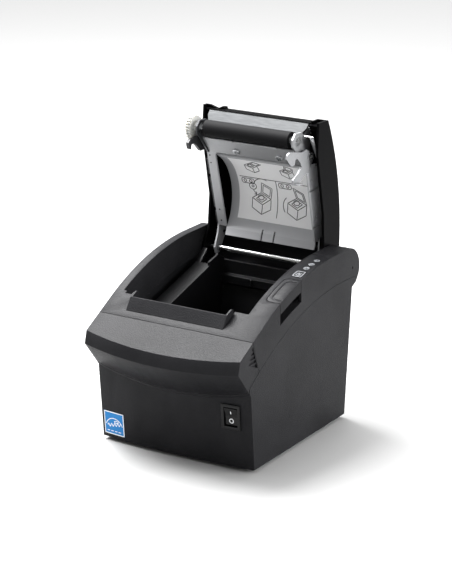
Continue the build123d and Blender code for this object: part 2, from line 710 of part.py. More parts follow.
def connector_shell(x, width, height, z0):
    """Plain metal or plastic connector body standing on the board, mouth at the rear."""
    return box(x - width / 2, x + width / 2, 57, rear_y(z0) - 0.6, z0, z0 + height)


def power_inlet():
    z0 = PCB_Z + 1.6
    body = connector_shell(-41, 14, 13, z0)
    z = z0 + 6.5
    mouth = rod_y(-41, z, 5.2, 68, 90) - rod_y(-41, z, 1.6, 60, 90)
    return body - mouth


def jack(x, width, height):
    """Modular jack with a stepped mouth."""
    z0 = PCB_Z + 1.6
    body = connector_shell(x, width + 3.5, height + 3.2, z0)
    mouth = box(x - width / 2, x + width / 2, 63, 90, z0 + 1.6, z0 + 1.6 + height - 2)
    mouth += box(x - width / 4, x + width / 4, 63, 90, z0 + height - 1, z0 + height + 1.4)
    return body - mouth


def usb_port():
    z0 = PCB_Z + 1.6
    x = -17.5
    body = connector_shell(x, 12, 11, z0)
    mouth = box(x - 4.9, x + 4.9, 64, 90, z0 + 1.2, z0 + 9.8) - box(x - 2.8, x + 2.8, 60, 73.5,
        z0 + 3.4, z0 + 6.6)
    return body - mouth


def serial_port():
    z0 = PCB_Z + 1.6
    x = 29.0
    body = connector_shell(x, 31, 12.5, z0)
    ring = Polyline((x - 9.4, z0 + 10.6), (x + 9.4, z0 + 10.6), (x + 7.8, z0 + 2.2),
        (x - 7.8, z0 + 2.2), close=True)
    mouth = Pos(0, 90, 0) * Rot(90, 0, 0) * extrude(make_face(ring), amount=24)
    insert = box(x - 7.0, x + 7.0, 66, 73.8, z0 + 3.6, z0 + 9.2)
    holes = []
    for row, count in ((0, 5), (1, 4)):
        for i in range(count):
            holes.append(rod_y(x + (i - (count - 1) / 2) * 2.77, z0 + 7.8 - row * 2.84, 0.5, 70, 80))
    return body - mouth + insert - Compound(holes)


def port_nuts():
    z0 = PCB_Z + 1.6
    nuts = []
    for x in (29.0 - 12.5, 29.0 + 12.5):
        y = rear_y(z0) - 0.6
        nut = Pos(x, y, z0 + 6.4) * Rot(-90, 0, 0) * extrude(RegularPolygon(2.7, 6), amount=3.0)
        nuts.append(nut - rod_y(x, z0 + 6.4, 1.2, y + 0.5, y + 5))
    return nuts


def switch_housing():
    frame = Pos(0, 3.4, 0) * Box(SWITCH_W - 0.1, 9.0, SWITCH_H - 0.1)
    rim = Pos(0, -0.55, 0) * Box(SWITCH_W + 1.4, 0.9, SWITCH_H + 1.4)
    cavity = Pos(0, 0, 0) * Box(SWITCH_W - 3.6, 10.0, SWITCH_H - 3.8)
    housing = frame + rim - cavity
    housing += Pos(0, 6.6, 0) * Box(SWITCH_W - 3.0, 2.5, SWITCH_H - 3.0)
    return on_front_panel(housing, SWITCH_X, SWITCH_Z)


ROCKER_TILT = 7.0


def power_rocker():
    """Rocker with a shallow V front, resting on its lower half."""
    half_h = (SWITCH_H - 3.8) / 2 - 0.45
    half_w = (SWITCH_W - 3.6) / 2 - 0.4
    lean = tan(radians(ROCKER_TILT))
    outline = [(2.6, -half_h), (-1.2, -half_h), (-0.4, 0), (-1.2, half_h), (2.6, half_h), (3.4, 2.0),
        (3.4, -2.0)]
    rocker = yz_prism(outline, -half_w, half_w)
    rocker += rod_x(0, 0, 0.9, -half_w - 0.3, -half_w) + rod_x(0, 0, 0.9, half_w, half_w + 0.3)
    rocker = Rot(ROCKER_TILT, 0, 0) * rocker
    return on_front_panel(Pos(0, 0.9, 0) * rocker, SWITCH_X, SWITCH_Z)


def front_label():
    """Thin square label on the lower left of the front panel."""
    x0, x1, z0, z1 = -70.2, -49.8, 6.2, 26.2
    slab = box(x0, x1, -100, -60, z0, z1)
    film = slab & bowed_tool(FRONT_FOOT, FRONT_HEAD, FRONT_BOW, -0.15)
    return film - bowed_tool(FRONT_FOOT, FRONT_HEAD, FRONT_BOW, 0)


# ---- lid, designed shut, then opened about its shaft ----

def opened(shape):
    """Turns a lid piece from its shut place to the open one."""
    return shape.rotate(Axis((0, HINGE[0], HINGE[1]), (1, 0, 0)), -LID_OPEN)


BARREL_END = 52           # degrees round the shaft where the lid's skin ends
WING_DIP = 2.6            # the wings' front faces are sunk this much between their walls
WING_DEPTH_LEFT = 5.0
SET_BACK = 2.0            # the middle of the lid's front edge stands back this much


def under_top(inset, front_y, lobe_end):
    """Everything under the lid's skin, back to a radial cut at the barrel."""
    edges, front, end = top_edges(inset, front_y, lobe_end)
    edges += [Polyline(end, HINGE, (HINGE[0], 60), (front[0], 60), front)]
    return make_face(edges)


def lid_shell():
    """Outer cover: a curved skin with side flanges, two front wings and a barrel at the hinge."""
    outer = extrude(Plane.YZ.offset(LID_LEFT) * under_top(0, LID_FRONT_Y - 20, BARREL_END),
        amount=LID_RIGHT - LID_LEFT)
    inner = extrude(Plane.YZ.offset(LID_LEFT - 5) * under_top(LID_WALL, LID_FRONT_Y - 22, 30),
        amount=LID_RIGHT - LID_LEFT + 10)
    behind_front = box(-100, 100, LID_FRONT_Y, 120, 50, 160)
    outer &= behind_front
    skin = outer - inner
    front_z = top_z(LID_FRONT_Y)
    flange_low = [
        (LID_FRONT_Y, front_z - WING_DEPTH_LEFT),
        (-20, top_z(-20) - LID_FLANGE),
        (33, top_z(33) - LID_FLANGE),
        (60, 126.0),
        (71.5, 119.6),
        (HINGE[0] + 1, 119.6),
        (HINGE[0] + 1, 170),
        (LID_FRONT_Y, 170),
    ]
    deep = [(33, top_z(33) - LID_FLANGE - 9), (60, 120.5), (71.5, 116.5), (HINGE[0] + 1, 116.5)]
    flange_low_right = [(LID_FRONT_Y, front_z - 15), (-20, top_z(-20) - LID_FLANGE - 9), *deep,
        *flange_low[6:]]
    sector = outer & box(-100, 100, HINGE[0], 120, HINGE[1], 160)
    for x0 in (LID_LEFT, LID_RIGHT - LID_WALL):
        x1 = x0 + LID_WALL
        skin += outer & yz_prism(flange_low if x0 < 0 else flange_low_right, x0, x1)
        skin += sector & box(x0, x1, 0, 120, 0, 200)
        skin += rod_x(HINGE[0], HINGE[1], 10.5, x0, x1)
    edge_y = LID_FRONT_Y + SET_BACK
    for x0, x1, depth in ((LID_LEFT, WING_INNER_LEFT, WING_DEPTH_LEFT), (WING_INNER_RIGHT, LID_RIGHT, 15)):
        sunk = LID_FRONT_Y + WING_DIP
        face = [(sunk, front_z - depth), (sunk, 170), (sunk + 1.8, 170), (sunk + 1.8, front_z - depth + 1)]
        skin += outer & yz_prism(face, x0, x1)
    peak = extrude(Plane.XY.offset(100) * make_face(Polyline(
        (LID_LEFT + LID_WALL, LID_FRONT_Y - 1), (WING_INNER_LEFT - 1.0, LID_FRONT_Y - 1),
        (WING_INNER_LEFT - 9.0, LID_FRONT_Y + WING_DIP), close=True)), amount=60)
    skin -= peak
    skin -= box(WING_INNER_LEFT, WING_INNER_RIGHT, LID_FRONT_Y - 5, edge_y, 60, 170)
    edge_z = top_z(edge_y)
    apron = [(edge_y, edge_z - 1), (edge_y, edge_z - 10.5), (edge_y + 1.8, edge_z - 10.2),
        (edge_y + 1.8, edge_z - 1)]
    skin += yz_prism(apron, WING_INNER_LEFT, WING_INNER_RIGHT)
    for x, depth in ((WING_INNER_LEFT - 1.8, WING_DEPTH_LEFT), (WING_INNER_RIGHT, 11)):
        cheek = [(LID_FRONT_Y, front_z - depth), (LID_FRONT_Y, front_z - 1), (edge_y + 1.8, front_z),
            (edge_y + 1.8, front_z - depth + 2)]
        skin += yz_prism(cheek, x, x + 1.8)
    for i in range(4):
        z = edge_z - 2.4 - i * 2.3
        skin += box(WING_INNER_LEFT, WING_INNER_RIGHT, edge_y - 0.5, edge_y, z - 1.3, z)
    for x0 in (LID_LEFT, LID_RIGHT - LID_WALL):
        skin -= rod_x(HINGE[0], HINGE[1], SHAFT_R + RUNNING_FIT, x0 - 1, x0 + LID_WALL + 1)
    return skin


FRAME_LEFT = -54.2
FRAME_RIGHT = 43.0
GUIDE_LEFT = -45.8
GUIDE_RIGHT = 41.0
EDGE_LINE = ((-8.6, 107.9), (59.0, 127.0))     # lower rim of the frame, lid shut
GUIDE_ARC = ((-6.0, 110.5), (27.0, 134.2), (60.0, 126.6))
GUIDE_END = (66.0, 124.6)


def offset_line(line, d):
    """A line moved sideways by d, upwards."""
    (y0, z0), (y1, z1) = line
    run = sqrt((y1 - y0) ** 2 + (z1 - z0) ** 2)
    ny, nz = -(z1 - z0) / run, (y1 - y0) / run
    return (y0 + ny * d, z0 + nz * d), (y1 + ny * d, z1 + nz * d)


FRAME_OUTLINE = [*EDGE_LINE, (62.0, 136.5), (56.5, 141.0), (4.0, 136.3), (-8.3, 122.0)]
RAIL_RIGHT = GUIDE_LEFT - 0.4
CHANNEL_DEPTH = 1.7       # the black channel starts this deep behind the rail's face


def lid_frame():
    """Grey tray under the lid shell: left rail and right wall."""
    inner = [(-7.0, 60), (60.2, 60), (60.4, 136.0), (56.0, 139.4), (4.8, 134.7), (-7.0, 121.5)]
    right = FRAME_RIGHT - 1.4
    frame = yz_prism(FRAME_OUTLINE, RAIL_RIGHT, FRAME_RIGHT) - yz_prism(inner, RAIL_RIGHT - 1, right)
    low = yz_prism([(-20, 100), (-20, 125), (5, 125), (62, 132), (70, 132), (70, 100)], RAIL_RIGHT - 1,
        right)
    frame -= low - box(RAIL_RIGHT - 2, RAIL_RIGHT + 1.2, -20, -4, 90, 125)
    frame += yz_prism([(-7.4, 106.6), (58.6, 122.6), (59.0, 128.0), (-7.4, 109.0)], right, FRAME_RIGHT)
    thin = offset_line(EDGE_LINE, 1.6)
    frame += yz_prism([*EDGE_LINE, thin[1], thin[0]], FRAME_LEFT, RAIL_RIGHT)
    for y0, z0, y1, z1 in ((13.4, 104.0, 10.8, 128.0), (45.8, 113.0, 42.2, 135.0)):
        frame -= yz_prism([(y0, z0), (y0 + 2.0, z0), (y1 + 2.0, z1), (y1, z1)], FRAME_RIGHT - 0.9,
            FRAME_RIGHT + 1)
    for y, z in ((4.0, 113.6), (38.0, 123.4)):
        frame -= rod_x(y, z, 1.2, FRAME_RIGHT - 0.9, FRAME_RIGHT + 1)
    return frame


def side_channel():
    """Black channel behind the left rail, with slanted ribs on its back."""
    front = offset_line(EDGE_LINE, CHANNEL_DEPTH)
    outline = [front[0], front[1], (61.6, 136.0), (56.3, 140.6), (4.2, 135.9), (-8.0, 121.8)]
    hollow = [(-6.8, 60), (60.0, 60), (60.2, 134.4), (55.8, 138.8), (4.8, 134.3), (-6.8, 121.2)]
    channel = yz_prism(outline, FRAME_LEFT, RAIL_RIGHT)
    channel -= yz_prism(hollow, FRAME_LEFT + 1.4, RAIL_RIGHT + 1)
    wall = yz_prism(hollow, FRAME_LEFT + 1.3, FRAME_LEFT + 2.4)
    for y in (6.0, 22.0, 38.0, 54.0):
        slant = [(y, 100), (y + 1.3, 100), (y - 8.7, 140), (y - 10, 140)]
        channel += wall & yz_prism(slant, FRAME_LEFT, RAIL_RIGHT) & yz_prism(outline, FRAME_LEFT,
            RAIL_RIGHT)
    return channel


def circle_through(a, b, c):
    """Centre and radius of the circle through three points."""
    d = 2 * (a[0] * (b[1] - c[1]) + b[0] * (c[1] - a[1]) + c[0] * (a[1] - b[1]))
    sa, sb, sc = (p[0] ** 2 + p[1] ** 2 for p in (a, b, c))
    u = (sa * (b[1] - c[1]) + sb * (c[1] - a[1]) + sc * (a[1] - b[1])) / d
    v = (sa * (c[0] - b[0]) + sb * (a[0] - c[0]) + sc * (b[0] - a[0])) / d
    return (u, v), sqrt((a[0] - u) ** 2 + (a[1] - v) ** 2)


def bearing_of(point, centre):
    """Angle of a point seen from a centre, in degrees."""
    return degrees(atan2(point[1] - centre[1], point[0] - centre[0]))


def arc_sheet(r0, r1, a0, a1, x0, x1):
    """Part of a ring round the guide's centre, between two angles."""
    centre = circle_through(*GUIDE_ARC)[0]
    mid = (a0 + a1) / 2
    edges = [
        ThreePointArc(polar(r0, a0, centre), polar(r0, mid, centre), polar(r0, a1, centre)),
        Line(polar(r0, a1, centre), polar(r1, a1, centre)),
        ThreePointArc(polar(r1, a1, centre), polar(r1, mid, centre), polar(r1, a0, centre)),
        Line(polar(r1, a0, centre), polar(r0, a0, centre)),
    ]
    return extrude(Plane.YZ.offset(x0) * make_face(edges), amount=x1 - x0)


def paper_guide():
    """Concave guide over the roll with a snap tab on its rear edge."""
    centre, r = circle_through(*GUIDE_ARC)
    start, end = bearing_of(GUIDE_ARC[0], centre), bearing_of(GUIDE_ARC[2], centre)
    sheet = arc_sheet(r, r + 1.4, start, end, GUIDE_LEFT, GUIDE_RIGHT)
    rear = GUIDE_ARC[2]
    tail = [rear, GUIDE_END, (GUIDE_END[0] + 0.3, GUIDE_END[1] + 1.4), (rear[0] + 0.9, rear[1] + 1.3)]
    sheet += yz_prism(tail, GUIDE_LEFT, GUIDE_RIGHT)
    for x in (-10.6, 1.2):
        sheet -= box(x - 0.7, x + 0.7, 57.5, 68, 118, 132)
    return sheet


def lid_label():
    """Instruction label lying in the concave guide."""
    centre, r = circle_through(*GUIDE_ARC)
    return arc_sheet(r - 0.22, r - 0.02, bearing_of((-3.0, 113.5), centre),
        bearing_of((51.0, 131.0), centre), -38.0, 36.0)


def bar_at(shape):
    """Places a shape on the sloping face of the cutter bar: Y down the face."""
    return Pos(0, -43.2, 110.0) * Rot(-41.6, 0, 0) * shape


BAR_LEFT = -53.0
BAR_RIGHT = 41.6


def cutter_bar():
    """Folded steel holder; its long face is what shows above the platen."""
    face = bar_at(box(BAR_LEFT, BAR_RIGHT, 0, 9.6, 0.0, 1.2))
    top = yz_prism([(-43.1, 110.1), (-42.3, 111.0), (-33.5, 116.4), (-33.0, 115.4)], BAR_LEFT + 2,
        BAR_RIGHT - 2)
    bar = face + top
    for x, side in ((BAR_LEFT, 1), (BAR_RIGHT, -1)):
        notch = Polyline((x, 9.7), (x + side * 2.6, 9.7), (x, 4.0), close=True)
        bar -= bar_at(Pos(0, 0, -2) * extrude(make_face(notch), amount=5))
    return bar


def fixed_blade():
    """Hard steel blade edge along the top of the bar."""
    return yz_prism([(-43.45, 109.95), (-42.6, 111.15), (-34.0, 116.9), (-33.6, 116.4), (-42.3, 111.05),
        (-43.15, 110.12)], BAR_LEFT + 1.0, BAR_RIGHT - 0.6)


def platen_parts():
    x0 = PAPER_CENTRE_X - PLATEN_LENGTH / 2
    x1 = PAPER_CENTRE_X + PLATEN_LENGTH / 2
    y, z = PLATEN
    roller = rod_x(y, z, PLATEN_R, x0, x1) - rod_x(y, z, 3.5, x0 - 1, x1 + 1)
    shaft = rod_x(y, z, 3.5, x0 - 0.6, x1 + 0.6)
    shaft += rod_x(y, z, 2.5, GEAR_X - 1.4, x0 - 0.5)
    shaft += rod_x(y, z, 2.5, x1 + 0.5, FRAME_RIGHT - 0.6)
    phase = pi / 2 + asin(SWING_LEAN) + pi
    wheel = Pos(GEAR_X, y, z) * gear(PLATEN_TEETH, GEAR_WIDTH, 2.5, phase)
    hub = rod_x(y, z, 3.6, GEAR_X + GEAR_WIDTH, GEAR_X + GEAR_WIDTH + 2.6)
    hub += rod_x(y, z, 4.2, GEAR_X - 1.2, GEAR_X)
    hub -= rod_x(y, z, 2.5, GEAR_X - 2, GEAR_X + 9)
    groove = rod_x(y, z, 9.0, GEAR_X - 0.1, GEAR_X + 1.2) - rod_x(y, z, 5.6, GEAR_X - 1, GEAR_X + 2)
    return roller, shaft, wheel + hub - groove


def bearings():
    """Flanged bushes of the platen shaft, one in each bracket."""
    y, z = PLATEN
    bushes = []
    for x in (BRACKET_LEFT, BRACKET_RIGHT):
        bush = rod_x(y, z, 4.5, x, x + BRACKET_T) + rod_x(y, z, 5.4, x - 0.9, x)
        bushes.append(bush - rod_x(y, z, 2.5 + RUNNING_FIT, x - 2, x + BRACKET_T + 1))
    return bushes


def side_bracket_outline():
    return [(-41.0, 110.6), (-34.2, 105.8), (-37.6, 100.5), (-38.2, 91.0), (-33.5, 87.0), (-27.5, 87.2),
        (-21.4, 93.4),
            (-8.6, 104.8), (-9.4, 109.4), (-20.0, 115.0), (-33.0, 113.6)]


def platen_brackets():
    holes = rod_x(PLATEN[0], PLATEN[1], 4.5, -60, 60)
    holes += rod_x(HOOK_PIVOT[0], HOOK_PIVOT[1], 2.0 + RUNNING_FIT, -60, 60)
    left = yz_prism(side_bracket_outline(), BRACKET_LEFT, BRACKET_LEFT + BRACKET_T) - holes
    right = yz_prism(side_bracket_outline(), BRACKET_RIGHT, BRACKET_RIGHT + BRACKET_T) - holes
    return left, right


LID_SCREW_X = (-21.5, 19.5)
PLATE_LOW = (-22.8, 95.6)
PLATE_HIGH = (-9.0, 106.0)
PLATE_TILT = atan2(PLATE_HIGH[1] - PLATE_LOW[1], PLATE_HIGH[0] - PLATE_LOW[0])


def on_cross_plate(shape, x):
    """Places a shape on the front face of the cross plate, its +Z out of the face."""
    y = -13.6
    z = PLATE_LOW[1] + (y - PLATE_LOW[0]) * tan(PLATE_TILT)
    return Pos(x, y, z) * Rot(degrees(PLATE_TILT) + 180, 0, 0) * shape


def cross_plate():
    """Sheet that ties the brackets together behind the platen, with three tabs."""
    low, high = PLATE_LOW, PLATE_HIGH
    x0, x1 = BRACKET_LEFT + BRACKET_T, BRACKET_RIGHT
    plate = yz_prism([low, high, (high[0] - 0.6, high[1] + 0.8), (low[0] - 0.6, low[1] + 0.8)], x0, x1)
    for t0, t1 in ((-33.5, -20.0), (-15.0, 0.5), (6.5, 22.0)):
        plate += yz_prism([low, (low[0] - 0.6, low[1] + 0.8), (low[0] - 1.0, low[1] - 2.8),
            (low[0], low[1] - 2.8)], t0, t1)
    for x in LID_SCREW_X:
        plate -= on_cross_plate(Cylinder(1.6, 8), x)
    return plate


def lid_screws():
    return [on_cross_plate(Pos(0, 0, 0.01) * pan_screw(3.1, 1.7, 1.5, 2.6), x) for x in LID_SCREW_X]


HOOK_PIVOT = (-17.2, 106.8)
HOOK_OUTLINE = [(-21.3, 70.8), (-24.6, 72.0), (-26.0, 75.4), (-22.6, 96.5), (-24.0, 101.8),
    (-18.6, 112.6), (-14.0, 113.2), (-10.2, 109.7), (-4.0, 106.4),
                (-3.6, 101.4), (2.4, 90.0), (1.6, 81.6), (-2.5, 81.2), (-6.2, 89.0), (-10.8, 94.6),
                (-14.8, 92.4), (-19.2, 87.0), (-18.4, 84.2), (-14.3, 83.4), (-14.6, 77.6)]


def latch_hook_right():
    """Steel latch plate with a notch for the stud and a bent foot on its arm."""
    hook = yz_prism(HOOK_OUTLINE, 43.9, 45.3)
    hook += yz_prism([(2.4, 90.0), (1.6, 81.6), (0.4, 81.6), (1.2, 90.2)], 45.2, 49.0)
    return hook - rod_x(HOOK_PIVOT[0], HOOK_PIVOT[1], 2.0, 40, 50)


def latch_hook_left():
    """Plastic latch arm with its own short beak."""
    outline = [(-23.8, 94.5), (-23.0, 82.0), (-20.6, 79.4), (-15.6, 80.6), (-14.4, 83.2), (-18.0, 83.6),
        (-19.2, 86.8), (-16.4, 91.6),
               (-10.6, 98.0), (-11.0, 106.0), (-14.0, 112.0), (-20.0, 111.6)]
    return yz_prism(outline, -56.3, -53.6) - rod_x(HOOK_PIVOT[0], HOOK_PIVOT[1], 2.0, -60, -40)


def latch_axle():
    """Bar through both brackets that the two latches turn on."""
    bar = rod_x(HOOK_PIVOT[0], HOOK_PIVOT[1], 2.0, -57.2, 46.0)
    bar += rod_x(HOOK_PIVOT[0], HOOK_PIVOT[1], 3.4, 45.3, 46.6)
    slot = Box(4, 0.8, 4.6) + Box(4, 4.6, 0.8)
    return bar - Pos(48.1, HOOK_PIVOT[0], HOOK_PIVOT[1]) * slot


def latch_spring():
    """Close-wound tension spring along the right side, drawn as its outer tube with end eyes."""
    start = Vector(48.2, -33.0, 104.0)
    end = Vector(48.2, -8.0, 119.8)
    run = end - start
    plane = Plane(origin=(start.X, start.Y, start.Z), z_dir=run.normalized())
    length = run.length
    coil = plane * Pos(0, 0, length / 2) * Cylinder(1.5, length)
    coil -= plane * Pos(0, 0, length / 2) * Cylinder(0.9, length + 2)
    return coil


def spring_pins():
    low = rod_x(-34.0, 103.3, 0.8, BRACKET_RIGHT + BRACKET_T, 50.4)
    high = rod_x(-7.0, 120.5, 0.8, FRAME_RIGHT, 50.4)
    return [low, high]


def hinge_arms():
    """Two arms that carry the frame to the shaft."""
    left_outline = [(58.0, 128.4), (57.0, 137.6), (66.0, 140.0), (76.0, 133.8), (83.6, 129.6),
        (83.6, 124.0), (78.0, 122.0), (66.4, 126.8)]
    left = yz_prism(left_outline, FRAME_LEFT - 1.5, FRAME_LEFT - 0.02)
    right_outline = [(56.0, 128.0), (57.0, 137.6), (66.0, 138.0), (76.0, 133.0), (83.0, 130.4),
        (84.0, 124.6), (78.0, 123.0), (70.0, 127.4)]
    right = yz_prism(right_outline, FRAME_RIGHT + 0.02, FRAME_RIGHT + 1.2)
    bore = rod_x(HINGE[0], HINGE[1], SHAFT_R + RUNNING_FIT, -80, 80)
    return left - bore, right - bore


def side_clips():
    """Black snap tabs along the left side of the frame."""
    clips = []
    for y0, y1 in ((-1.5, 12.5), (15.5, 43.0), (46.5, 57.5)):
        slope = (EDGE_LINE[1][1] - EDGE_LINE[0][1]) / (EDGE_LINE[1][0] - EDGE_LINE[0][0])
        za = EDGE_LINE[0][1] + (y0 - EDGE_LINE[0][0]) * slope
        zb = EDGE_LINE[0][1] + (y1 - EDGE_LINE[0][0]) * slope
        clips.append(yz_prism([(y0, za + 0.8), (y1, zb + 0.8), (y1 - 1.5, zb + 14),
            (y0 - 1.5, za + 14)], FRAME_LEFT - 1.9, FRAME_LEFT - 0.05))
    return clips


# ---- build and write ----

def save(name, shape):
    """Writes one node, which may be a group of separate solids."""
    if isinstance(shape, (list, tuple)):
        shape = Compound(children=list(shape))
    export_step(shape, f"parts/{name}.step")


def build():
    os.makedirs("parts", exist_ok=True)
    outer = case_block(0, FOOT_GAP)
    shell = outer - case_block(WALL, FOOT_GAP - 6)
    save("lower_case", lower_case(shell))
    save("base_plate", base_plate())
    save("rubber_feet", feet())
    save("base_screws", base_screws())
    save("top_case", top_case(shell))
    save("front_cover", front_cover(shell))
    save("paper_guard", paper_guard())
    save("paper_bucket", paper_bucket())
    save("shaft_blocks", shaft_blocks())
    save("lid_shaft", lid_shaft())
    save("cover_button", cover_button(outer))
    save("control_strip", control_strip())
    save("feed_button", feed_button())
    save("status_lenses", status_lenses())
    save("switch_housing", switch_housing())
    save("power_rocker", power_rocker())
    save("front_label", front_label())

    idler_c, pinion_c, _ = gear_points()
    frame = chassis()
    frame -= rod_x(pinion_c[0], pinion_c[1], 1.6, -60, -40)
    save("mechanism_chassis", frame)
    save("latch_studs", latch_studs())
    plate, ceramic = print_head()
    save("head_heatsink", plate)
    save("print_head", ceramic)
    save("cutter_frame", cutter_frame())
    save("cutter_cover", cutter_cover())
    save("cutter_blade", cutter_blade())
    save("cutter_pinion", cutter_pinion())
    save("cutter_motor", cutter_motor())
    idler, pinion, motor = drive_train()
    save("idler_gear", idler)
    save("motor_pinion", pinion)
    save("feed_motor", motor)
    save("idler_stud", rod_x(idler_c[0], idler_c[1], 2.0, GEAR_X - 0.8, CHASSIS_LEFT))
    save("main_board", main_board())
    save("board_parts", board_chips())
    save("power_inlet", power_inlet())
    save("drawer_jack", jack(2.0, 11.7, 12.0))
    save("usb_port", usb_port())
    save("serial_port", serial_port())
    save("port_nuts", port_nuts())

    save("lid_shell", opened(lid_shell()))
    save("lid_frame", opened(lid_frame()))
    save("side_channel", opened(side_channel()))
    save("paper_guide", opened(paper_guide()))
    save("lid_label", opened(lid_label()))
    save("cutter_bar", opened(cutter_bar()))
    save("fixed_blade", opened(fixed_blade()))
    roller, shaft, wheel = platen_parts()
    save("platen_roller", opened(roller))
    save("platen_shaft", opened(shaft))
    save("platen_gear", opened(wheel))
    left, right = platen_brackets()
    save("bracket_left", opened(left))
    save("bracket_right", opened(right))
    save("platen_bearings", [opened(b) for b in bearings()])
    save("cross_plate", opened(cross_plate()))
    save("lid_screws", [opened(s) for s in lid_screws()])
    save("latch_hook_right", opened(latch_hook_right()))
    save("latch_hook_left", opened(latch_hook_left()))
    save("latch_axle", opened(latch_axle()))
    save("latch_spring", opened(latch_spring()))
    save("spring_pins", [opened(p) for p in spring_pins()])
    arm_left, arm_right = hinge_arms()
    save("hinge_arm_left", opened(arm_left))
    save("hinge_arm_right", opened(arm_right))
    save("side_clips", [opened(c) for c in side_clips()])


build()
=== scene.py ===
import json
import math

import bmesh
import bpy
from mathutils import Matrix, Vector


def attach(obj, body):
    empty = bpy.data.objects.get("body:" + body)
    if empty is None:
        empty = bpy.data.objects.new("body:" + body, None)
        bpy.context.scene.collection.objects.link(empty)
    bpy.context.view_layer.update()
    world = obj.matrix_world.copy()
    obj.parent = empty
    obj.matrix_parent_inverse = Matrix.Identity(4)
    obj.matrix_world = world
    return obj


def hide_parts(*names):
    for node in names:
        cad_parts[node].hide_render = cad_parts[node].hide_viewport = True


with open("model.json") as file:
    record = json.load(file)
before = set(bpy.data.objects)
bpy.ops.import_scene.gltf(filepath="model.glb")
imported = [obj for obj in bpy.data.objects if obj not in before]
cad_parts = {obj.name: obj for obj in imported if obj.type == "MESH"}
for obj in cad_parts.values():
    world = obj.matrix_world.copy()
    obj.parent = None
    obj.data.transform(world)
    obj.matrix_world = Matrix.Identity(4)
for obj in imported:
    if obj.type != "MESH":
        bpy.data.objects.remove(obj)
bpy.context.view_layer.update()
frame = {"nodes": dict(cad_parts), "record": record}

bl_info = {
    "name": "Receipt printer",
    "version": (1, 0, 0),
    "blender": (4, 5, 0),
    "location": "View3D > Sidebar > Printer",
    "description": "Finishes and small parts of a drop-in receipt printer with its lid open",
    "category": "Object",
}

MM = 0.001
BODY_OF = {node: body for body, nodes in frame["record"]["behaviour"]["bodies"].items() for node in nodes}

# Sizes shared with the design of the case, in millimetres.
TOP_Z = 146.0
TOP_CURVE_Y = 56.0
TOP_CURVE_R = 231.0
SLOPE_START_Y = -53.0
SLOPE = math.asin((TOP_CURVE_Y - SLOPE_START_Y) / TOP_CURVE_R)
HALF_WIDTH = 72.5
FRONT_FOOT = (-68.8, 3.0)
FRONT_HEAD = (-73.2, 66.5)
FRONT_BOW = 4.0
HINGE = (79.0, 127.5)
LID_OPEN = math.radians(92.0)
GUIDE_ARC = ((-6.0, 110.5), (27.0, 134.2), (60.0, 126.6))
FRAME_EDGE = ((-8.6, 107.9), (59.0, 127.0))
SWITCH_X = 54.3
SWITCH_Z = 46.2
ROCKER_TILT = math.radians(7.0)
ROCKER_LIFT = 0.9
ROCKER_HALF_HEIGHT = 7.65
ROCKER_MIDDLE = 0.4
ROCKER_DIP = 0.8
SPRING_LOW = (48.2, -33.0, 104.0)
SPRING_HIGH = (48.2, -8.0, 119.8)
LABEL_TOP = (-3.0, 113.5)
KEY_X = 65.4
LAMP_YS = (23.0, 31.0, 39.5)
FLOOR_HALF = 6.0


# ---------------------------------------------------------------- small helpers


def linear(code):
    """An sRGB hex colour as the linear RGB that shaders take."""
    channels = [int(code[i : i + 2], 16) / 255 for i in (0, 2, 4)]
    return tuple(c / 12.92 if c <= 0.04045 else ((c + 0.055) / 1.055) ** 2.4 for c in channels)


def rgba(code):
    return (*linear(code), 1.0)


def add_node(tree, kind, inputs=None, **settings):
    """Adds a node; inputs are values or sockets by name or number, settings are its attributes."""
    made = tree.nodes.new(kind)
    for key, value in settings.items():
        setattr(made, key, value)
    for key, value in (inputs or {}).items():
        if isinstance(value, bpy.types.NodeSocket):
            tree.links.new(value, made.inputs[key])
        else:
            made.inputs[key].default_value = value
    return made


def top_z(y):
    """Height of the case top at y, in millimetres."""
    if y >= TOP_CURVE_Y:
        return TOP_Z
    centre = TOP_Z - TOP_CURVE_R
    if y >= SLOPE_START_Y:
        return centre + math.sqrt(TOP_CURVE_R**2 - (TOP_CURVE_Y - y) ** 2)
    return top_z(SLOPE_START_Y) - (SLOPE_START_Y - y) * math.tan(SLOPE)


def panel_y(x, z):
    """Y of the front panel's face, in millimetres."""
    lean = (FRONT_HEAD[0] - FRONT_FOOT[0]) / (FRONT_HEAD[1] - FRONT_FOOT[1])
    return FRONT_FOOT[0] + (z - FRONT_FOOT[1]) * lean - FRONT_BOW * (1 - (x / HALF_WIDTH) ** 2)


def opened(x, y, z):
    """A point of the shut lid, in millimetres, moved to the open pose, in metres."""
    dy, dz = y - HINGE[0], z - HINGE[1]
    c, s = math.cos(-LID_OPEN), math.sin(-LID_OPEN)
    return Vector((x, HINGE[0] + dy * c - dz * s, HINGE[1] + dy * s + dz * c)) * MM


def circle_through(a, b, c):
    """Centre and radius of the circle through three points."""
    d = 2 * (a[0] * (b[1] - c[1]) + b[0] * (c[1] - a[1]) + c[0] * (a[1] - b[1]))
    sa, sb, sc = (p[0] ** 2 + p[1] ** 2 for p in (a, b, c))
    u = (sa * (b[1] - c[1]) + sb * (c[1] - a[1]) + sc * (a[1] - b[1])) / d
    v = (sa * (c[0] - b[0]) + sb * (a[0] - c[0]) + sc * (b[0] - a[0])) / d
    return (u, v), math.hypot(a[0] - u, a[1] - v)


# ---------------------------------------------------------------- materials


def start_material(name):
    """A new material, its tree and its output node."""
    made = bpy.data.materials.new(name)
    made.use_nodes = True
    made.node_tree.nodes.clear()
    output = made.node_tree.nodes.new("ShaderNodeOutputMaterial")
    return made, made.node_tree, output


def object_space(tree, scale):
    """Object coordinates through a Mapping node, so a pattern has a real size."""
    coords = add_node(tree, "ShaderNodeTexCoord")
    return add_node(tree, "ShaderNodeMapping", {"Vector": coords.outputs["Object"], "Scale": scale}).outputs[0]


